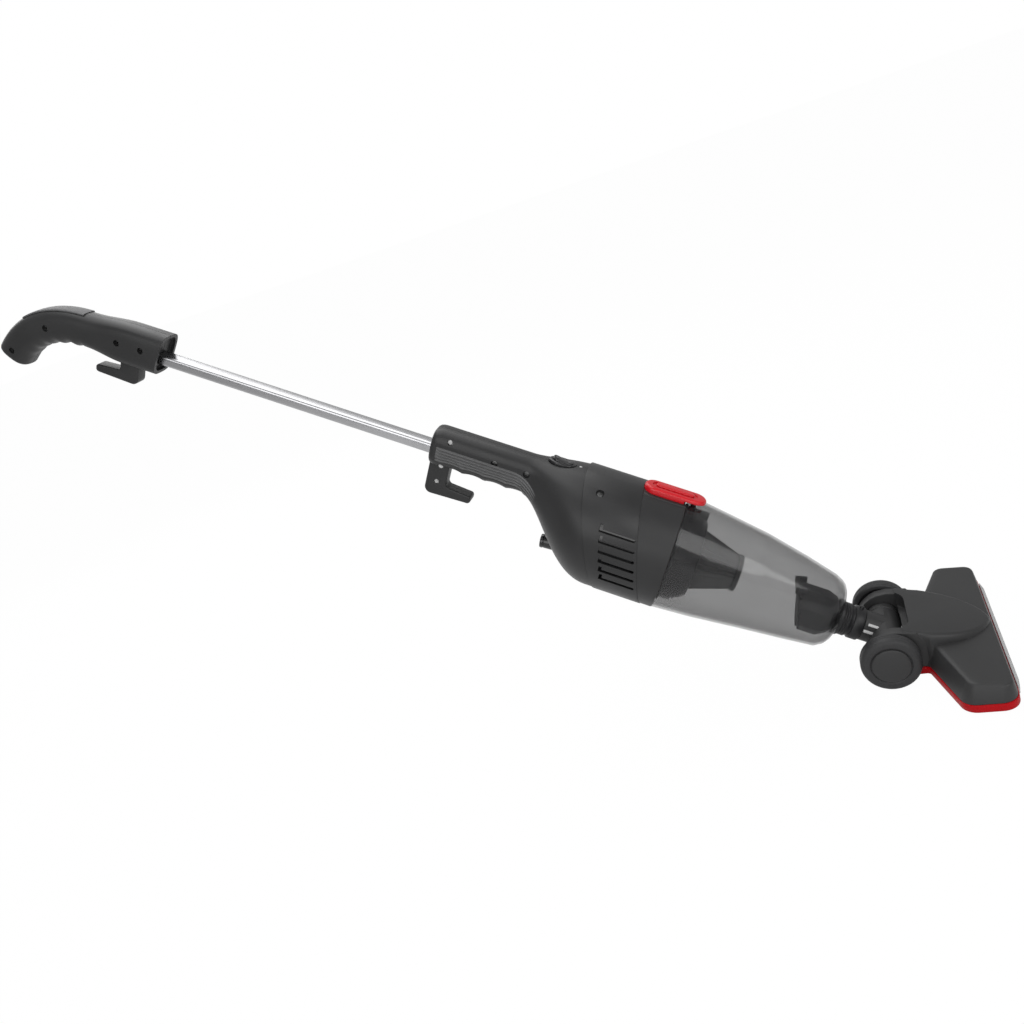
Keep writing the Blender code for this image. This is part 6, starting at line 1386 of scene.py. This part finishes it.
# %% Swivel knuckle: drum, stub and air window, with two bars painted pale as highlights
BARREL_RADIUS, BARREL_HALF, AXLE_RADIUS = 15.0 * MM, 30.2 * MM, 3.0 * MM
STUB_LENGTH, STUB_RADIUS = 24.0 * MM, 14.7 * MM
drum_profile = [(0.0, -BARREL_HALF), (BARREL_RADIUS - 0.8 * MM, -BARREL_HALF),
                (BARREL_RADIUS, -BARREL_HALF + 0.8 * MM)]
for at in (-22.0, 22.0):
    drum_profile += [(BARREL_RADIUS, (at - 0.8) * MM), (BARREL_RADIUS - 0.5 * MM, (at - 0.5) * MM),
                     (BARREL_RADIUS - 0.5 * MM, (at + 0.5) * MM), (BARREL_RADIUS, (at + 0.8) * MM)]
drum_profile += [(BARREL_RADIUS, BARREL_HALF - 0.8 * MM), (BARREL_RADIUS - 0.8 * MM, BARREL_HALF),
                 (0.0, BARREL_HALF)]
drum = turned(drum_profile, (0.0, 1.0, 0.0), steps=96)
spigot = NECK_BORE - GAP
stub = turned([(0.0, 0.0), (STUB_RADIUS, 0.0), (STUB_RADIUS, STUB_LENGTH - 0.5 * MM),
               (STUB_RADIUS - 0.5 * MM, STUB_LENGTH), (spigot, STUB_LENGTH),
               (spigot, STUB_LENGTH + 9.6 * MM), (spigot - 0.4 * MM, STUB_LENGTH + 10.0 * MM),
               (0.0, STUB_LENGTH + 10.0 * MM)], (-1.0, 0.0, 0.0), steps=96)
knuckle = carve(drum, [stub], "UNION")
knuckle = carve(knuckle, [
    rod(BARREL_RADIUS - 2.2 * MM, (0.0, -BARREL_HALF + 3.0 * MM, 0.0),
        (0.0, BARREL_HALF - 3.0 * MM, 0.0), 64),
    rod(spigot - 1.8 * MM, (-STUB_LENGTH - 0.02, 0.0, 0.0), (0.0, 0.0, 0.0), 48),
    block((0.004, -20.0 * MM, -3.0 * MM), (0.03, 20.0 * MM, 9.0 * MM)),
    rod(AXLE_RADIUS + GAP, (0.0, -0.05, 0.0), (0.0, 0.05, 0.0), 32)])
piece("knuckle", knuckle, ALONG_STICK, HEAD_SHELL, "knuckle", "swivel_knuckle")
# Two real ribs on the stub; their pale grey colour is a painted highlight.
KNUCKLE_BARS = ((34.0, -21.0, -8.0), (8.0, -23.4, -10.5))
for number, (angle, rear, front) in enumerate(KNUCKLE_BARS):
    bar = rounded_edges(block((rear * MM, -STUB_RADIUS - 1.6 * MM, -1.3 * MM),
                              (front * MM, -STUB_RADIUS + 1.5 * MM, 1.3 * MM)), 0.6 * MM)
    bmesh.ops.rotate(bar, matrix=Matrix.Rotation(-math.radians(angle), 3, "X"), verts=bar.verts)
    piece("knuckle_bar_%d" % (number + 1), bar, ALONG_STICK, PALE_GREY_AND_PAINTED_LIGHT, "knuckle",
          slot="pale_grey_plastic")

# %% [markdown]
# A wheel's whole section, with its tread grooves and hollow back, is one closed profile.
# The hub cap is a low dome that falls off steeply near its rim, so it gets a row of points
# from a power curve.

# %% Wheels with hollow backs and domed hub caps
WHEEL_RADIUS, WHEEL_INNER, WHEEL_OUTER = 26.5 * MM, 44.5 * MM, 58.5 * MM
HUB_RADIUS, CAP_DOME = 17.0 * MM, 3.2 * MM
r, web = WHEEL_RADIUS, WHEEL_OUTER - 4.0 * MM
tyre_profile = [
    (AXLE_RADIUS + GAP, WHEEL_OUTER - 1.0 * MM), (HUB_RADIUS + 0.6 * MM, WHEEL_OUTER - 1.0 * MM),
    (HUB_RADIUS + 1.2 * MM, WHEEL_OUTER - 0.4 * MM),
    (HUB_RADIUS + 2.0 * MM, WHEEL_OUTER - 0.1 * MM), (HUB_RADIUS + 3.0 * MM, WHEEL_OUTER),
    (r - 4.4 * MM, WHEEL_OUTER), (r - 3.0 * MM, WHEEL_OUTER - 0.3 * MM),
    (r - 1.6 * MM, WHEEL_OUTER - 1.1 * MM), (r - 0.6 * MM, WHEEL_OUTER - 2.3 * MM),
    (r - 0.1 * MM, WHEEL_OUTER - 3.8 * MM)]
for i in range(3):
    at = WHEEL_OUTER - (5.0 + 2.4 * i) * MM
    tyre_profile += [(r, at), (r, at - 1.5 * MM), (r - 0.4 * MM, at - 1.8 * MM),
                     (r - 0.4 * MM, at - 2.1 * MM)]
tyre_profile += [(r, WHEEL_INNER + 1.4 * MM), (r - 0.6 * MM, WHEEL_INNER + 0.4 * MM),
                 (r - 1.6 * MM, WHEEL_INNER), (r - 4.2 * MM, WHEEL_INNER),
                 (r - 4.6 * MM, WHEEL_INNER + 0.5 * MM), (r - 4.8 * MM, web), (8.0 * MM, web),
                 (7.6 * MM, WHEEL_INNER + 1.4 * MM), (7.2 * MM, WHEEL_INNER + 1.0 * MM),
                 (AXLE_RADIUS + GAP, WHEEL_INNER + 1.0 * MM)]
cap_base = WHEEL_OUTER - 1.0 * MM + GAP
cap_profile = [(0.0, cap_base), (HUB_RADIUS, cap_base), (HUB_RADIUS, cap_base + 0.7 * MM),
               (HUB_RADIUS - 0.3 * MM, cap_base + 1.1 * MM)]
for share in (0.96, 0.93, 0.88, 0.8, 0.7, 0.55, 0.35, 0.15, 0.0):
    cap_profile.append((HUB_RADIUS * share,
                        cap_base + 1.2 * MM + (CAP_DOME - 1.2 * MM) * (1.0 - share**2.6)))
for side_name, side in SIDES:
    facing = (0.0, side, 0.0)
    piece("tyre_" + side_name, turned(tyre_profile, facing, steps=128, closed=True), ON_FLOOR,
          TREAD, "wheel_%s_body" % side_name, "wheel_" + side_name, sharp=40.0)
    piece("hub_disc_" + side_name, turned(cap_profile, facing, steps=128), ON_FLOOR, HEAD_SHELL,
          "wheel_%s_body" % side_name, "hub_cap_" + side_name)

# %% [markdown]
# ## Floor head
#
# From above the head is a wide kite, drawn with one half of its corners and mirrored.  A row
# of such outlines, each a little smaller and higher, makes the soft shoulder of the wings.
# The raised duct in the middle is a second row of outlines along a blunt curve.

# %% Outlines of wings and duct
FLOOR = -WHEEL_RADIUS
SOLE_LOW, SOLE_HIGH = FLOOR + 3.0 * MM, FLOOR + 10.5 * MM
COVER_LOW = SOLE_HIGH + GAP
HEAD_HALF_WIDTH, HEAD_FRONT, HEAD_REAR, WHEEL_CLEAR = 111.0 * MM, 93.5 * MM, 17.2 * MM, 31.0 * MM
YOKE_INNER, YOKE_OUTER = 31.2 * MM, 42.0 * MM


def arcs(corners, steps=8):
    """Points of a polygon (x, y, radius) whose corners are arcs."""
    points = []
    count = len(corners)
    for i, corner in enumerate(corners):
        here = Vector(corner[:2])
        before = (Vector(corners[i - 1][:2]) - here).normalized()
        after = (Vector(corners[(i + 1) % count][:2]) - here).normalized()
        half = before.angle(after) / 2.0
        start = before * (corner[2] / math.tan(half))
        middle = (before + after).normalized() * (corner[2] / math.sin(half))
        sweep = (start - middle).angle_signed(after * (corner[2] / math.tan(half)) - middle)
        for k in range(steps + 1):
            arm = start - middle
            arm.rotate(Matrix.Rotation(-sweep * k / steps, 2))
            points.append(here + middle + arm)
    return points


def wing_outline(inset):
    w = HEAD_HALF_WIDTH
    half = [(HEAD_REAR, YOKE_OUTER - 0.6 * MM, 1.0 * MM), (WHEEL_CLEAR, YOKE_OUTER, 5.0 * MM),
            (WHEEL_CLEAR + 20.5 * MM, w - 3.0 * MM, 14.0 * MM),
            (HEAD_FRONT - 4.0 * MM, w, 13.0 * MM), (HEAD_FRONT, w - 13.0 * MM, 18.0 * MM)]
    corners = half + [(x, -y, r) for x, y, r in reversed(half)]
    points = [Vector(c[:2]) for c in corners]
    count = len(points)
    turn = math.copysign(1.0, sum(points[i - 1].cross(points[i]) for i in range(count)))
    moved = []
    for i, corner in enumerate(corners):
        before = (points[i] - points[i - 1]).normalized()
        after = (points[(i + 1) % count] - points[i]).normalized()
        normal = Vector((-before.y, before.x)) * turn
        bisector = (normal + Vector((-after.y, after.x)) * turn).normalized()
        point = points[i] + bisector * (inset / bisector.dot(normal))
        grown = corner[2] + (-inset if before.cross(after) * turn > 0.0 else inset)
        moved.append((point.x, point.y, max(grown, 0.4 * MM)))
    return [p + Vector((0.6 * max(inset, 0.0), 0.0)) for p in arcs(moved)]


def top_line(rear_height, front_height):
    """A height that falls evenly from the head's rear edge to its front edge."""
    def height(x, drop):
        share = (x - HEAD_REAR) / (HEAD_FRONT - HEAD_REAR)
        return rear_height + share * (front_height - rear_height) - drop
    return height


wing_top = top_line(9.6 * MM, -3.0 * MM)
dome_top = top_line(22.8 * MM, -0.6 * MM)


def dome_outline(grow, rear, steps=28):
    tip = HEAD_FRONT - 1.5 * MM + 0.5 * grow
    half = []
    for i in range(steps + 1):
        share = 1.0 - (1.0 - i / steps) ** 1.6
        x = rear + (tip - rear) * share
        y = (45.5 * MM + grow) * (1.0 - share**2.6) ** 0.62 if i < steps else 0.0
        if x < WHEEL_CLEAR + 2.0 * MM:
            y = min(y, YOKE_OUTER + 0.5 * grow)
        half.append(Vector((x, y)))
    return half + [Vector((p.x, -p.y)) for p in reversed(half[:-1])]


def raised(points, height, drop=0.0):
    """Lift an outline to a fixed height, or to a height line less a drop."""
    return [Vector((p.x, p.y, height(p.x, drop) if callable(height) else height))
            for p in points]


# %% [markdown]
# The cover joins the wings, the raised dome and two yoke arms that reach back to the axle.
# Its inside is cleared by smaller copies of the same outlines, which leaves an even wall.

# %% Cover: wings, duct dome, yoke arms and the rooms inside
wing_rows = [raised(wing_outline(0.0), COVER_LOW),
             raised(wing_outline(0.5 * MM), COVER_LOW + 3.0 * MM)]
for inset, drop in ((4.2, 2.3), (4.7, 1.45), (5.4, 0.75), (6.3, 0.3), (7.4, 0.07), (8.8, 0.0)):
    wing_rows.append(raised(wing_outline(inset * MM), wing_top, drop * MM))
dome_rear = HEAD_REAR - 2.0 * MM
dome_rows = [raised(dome_outline(0.0, dome_rear), COVER_LOW + 2.0 * MM)]
for grow, drop in ((-1.0, 6.0), (-1.9, 3.4), (-2.5, 2.1), (-3.3, 1.1), (-4.4, 0.45), (-5.6, 0.1),
                   (-7.2, 0.0)):
    dome_rows.append(raised(dome_outline(grow * MM, dome_rear), dome_top, drop * MM))
room = YOKE_INNER + GAP
knuckle_room = slab([(-0.05, -room, 0.0), (22.0 * MM, -room, 11.0 * MM),
                     (22.0 * MM, room, 11.0 * MM), (-0.05, room, 0.0)], 8.0 * MM, 0.05)
dome = carve(skinned(dome_rows), [rounded_edges(knuckle_room, 2.0 * MM, 4)])
YOKE_SIDE = ((26.0, 20.2), (7.5, 23.4), (-2.6, 22.3), (-8.6, 19.7), (-13.4, 16.2),
             (-18.0, 11.7), (-21.0, 4.5), (-21.5, -3.0), (-18.5, -10.5), (-12.0, -15.0))
arm_corners = [(x * MM, z * MM, 0.0) for x, z in YOKE_SIDE]
arm_corners += [(10.0 * MM, COVER_LOW, 0.0), (33.0 * MM, COVER_LOW, 0.0),
                (33.0 * MM, 8.0 * MM, 0.0)]
arms = []
for _, side in SIDES:
    near, far = sorted((side * YOKE_INNER, side * YOKE_OUTER))
    arms.append(rounded_edges(slab(arm_corners, near, far, "Y"), 1.0 * MM, 3, 50.0))
cover = carve(carve(skinned(wing_rows), [dome], "UNION"), arms, "UNION")
WALL = 2.4 * MM
inner_rear = 22.0 * MM + WALL
wing_room = skinned([
    raised(wing_outline(WALL), COVER_LOW - 1.0 * MM),
    raised(wing_outline(WALL + 0.5 * MM), COVER_LOW + 3.0 * MM),
    raised(wing_outline(WALL + 5.0 * MM), wing_top, 1.0 * MM + WALL),
    raised(wing_outline(WALL + 6.6 * MM), wing_top, WALL)])
dome_room = skinned([
    raised(dome_outline(-WALL - 3.0 * MM, inner_rear), COVER_LOW - 1.0 * MM),
    raised(dome_outline(-WALL - 3.0 * MM, inner_rear), dome_top, 6.0 * MM + 0.5 * WALL),
    raised(dome_outline(-WALL - 8.0 * MM, inner_rear), dome_top, WALL)])
rooms = [rod(BARREL_RADIUS + 0.5 * MM, (0.0, -YOKE_INNER, 0.0), (0.0, YOKE_INNER, 0.0), 72),
         block((-0.04, -17.5 * MM, -BARREL_RADIUS), (BARREL_RADIUS + 0.8 * MM, 17.5 * MM, 0.04)),
         block((0.0, -19.0 * MM, -9.0 * MM), (HEAD_REAR + 12.0 * MM, 19.0 * MM, 1.0 * MM)),
         rod(AXLE_RADIUS + GAP, (0.0, -0.05, 0.0), (0.0, 0.05, 0.0), 32)]
cover = carve(carve(carve(cover, [wing_room]), [dome_room]), rooms)
piece("head_cover", cover, ON_FLOOR, HEAD_SHELL, "head", "head_top_shell", sharp=28.0)

# %% [markdown]
# The red tray under the cover follows the same outline, a little wider, with the suction
# slot, two grooves for the sole strips and four screw holes.  The pale lip at the front is a
# flat outline with a small tooth for every rib, and it tapers towards both ends.

# %% Red sole tray and the ribbed lip
STRIP_FRONT, STRIP_REAR, STRIP_HALF_LENGTH = 74.0 * MM, 57.0 * MM, 103.3 * MM
SLOT_X, SLOT_LENGTH, SLOT_WIDTH = STRIP_FRONT - 8.5 * MM, 184.0 * MM, 11.0 * MM
SOLE_SCREWS = ((34.0 * MM, 26.0 * MM), (84.0 * MM, 70.0 * MM))
sole_rows = [raised(wing_outline(-0.8 * MM + inset * MM), SOLE_LOW + lift * MM)
             for inset, lift in ((1.1, 0.0), (0.55, 0.15), (0.15, 0.55), (0.0, 1.1))]
sole_rows += [raised(wing_outline(-0.8 * MM), SOLE_HIGH - 0.7 * MM),
              raised(wing_outline(-0.6 * MM), SOLE_HIGH - 0.2 * MM),
              raised(wing_outline(-0.1 * MM), SOLE_HIGH)]
slot_corners = [(SLOT_X + y, x, 0.0) for x, y, _ in capsule(0.0, SLOT_LENGTH, SLOT_WIDTH)]
tools = [skinned([raised(wing_outline(WALL), SOLE_LOW + 3.0 * MM),
                  raised(wing_outline(WALL), SOLE_HIGH + 1.0 * MM)]),
         slab(slot_corners, SOLE_LOW - 0.01, SOLE_HIGH + 0.01)]
for x in (STRIP_FRONT, STRIP_REAR):
    tools.append(block((x - 1.8 * MM, -STRIP_HALF_LENGTH, SOLE_LOW - 0.01),
                       (x + 1.8 * MM, STRIP_HALF_LENGTH, SOLE_LOW + 1.4 * MM)))
for x, y in SOLE_SCREWS:
    for side in (1.0, -1.0):
        tools.append(rod(3.6 * MM, (x, side * y, SOLE_LOW - 0.01),
                         (x, side * y, SOLE_LOW + 2.0 * MM), 32))
sole = skinned(sole_rows)
for tool in tools:
    sole = carve(sole, [tool])
piece("head_sole", sole, ON_FLOOR, RED_SOLE, "head", "head_base_plate")

LIP_REAR, LIP_DEPTH, LIP_HALF = HEAD_FRONT + 1.1 * MM, 2.6 * MM, 90.0 * MM
LIP_LOW, LIP_HEIGHT = SOLE_LOW + 1.0 * MM, 7.0 * MM
RIB_STEP = 2.3 * MM
lip_corners = [(LIP_REAR, -LIP_HALF, 0.0), (LIP_REAR, LIP_HALF, 0.0)]
count = int(2.0 * LIP_HALF / RIB_STEP)
for i in range(count):
    y = LIP_HALF - 2.0 * LIP_HALF * i / count
    step = 2.0 * LIP_HALF / count
    crest = LIP_REAR + LIP_DEPTH * min(1.0, (LIP_HALF - abs(y) + 5.0 * MM) / (16.0 * MM))
    valley = crest - 0.4 * (crest - LIP_REAR)
    lip_corners += [(crest, y - 0.1 * step, 0.0), (crest, y - 0.6 * step, 0.0),
                    (valley, y - 0.68 * step, 0.0), (valley, y - 0.97 * step, 0.0)]
piece("front_lip", slab(lip_corners, LIP_LOW, LIP_LOW + LIP_HEIGHT), ON_FLOOR, PALE_GREY_AND_PAINTED_LIGHT, "head",
      "front_bumper")
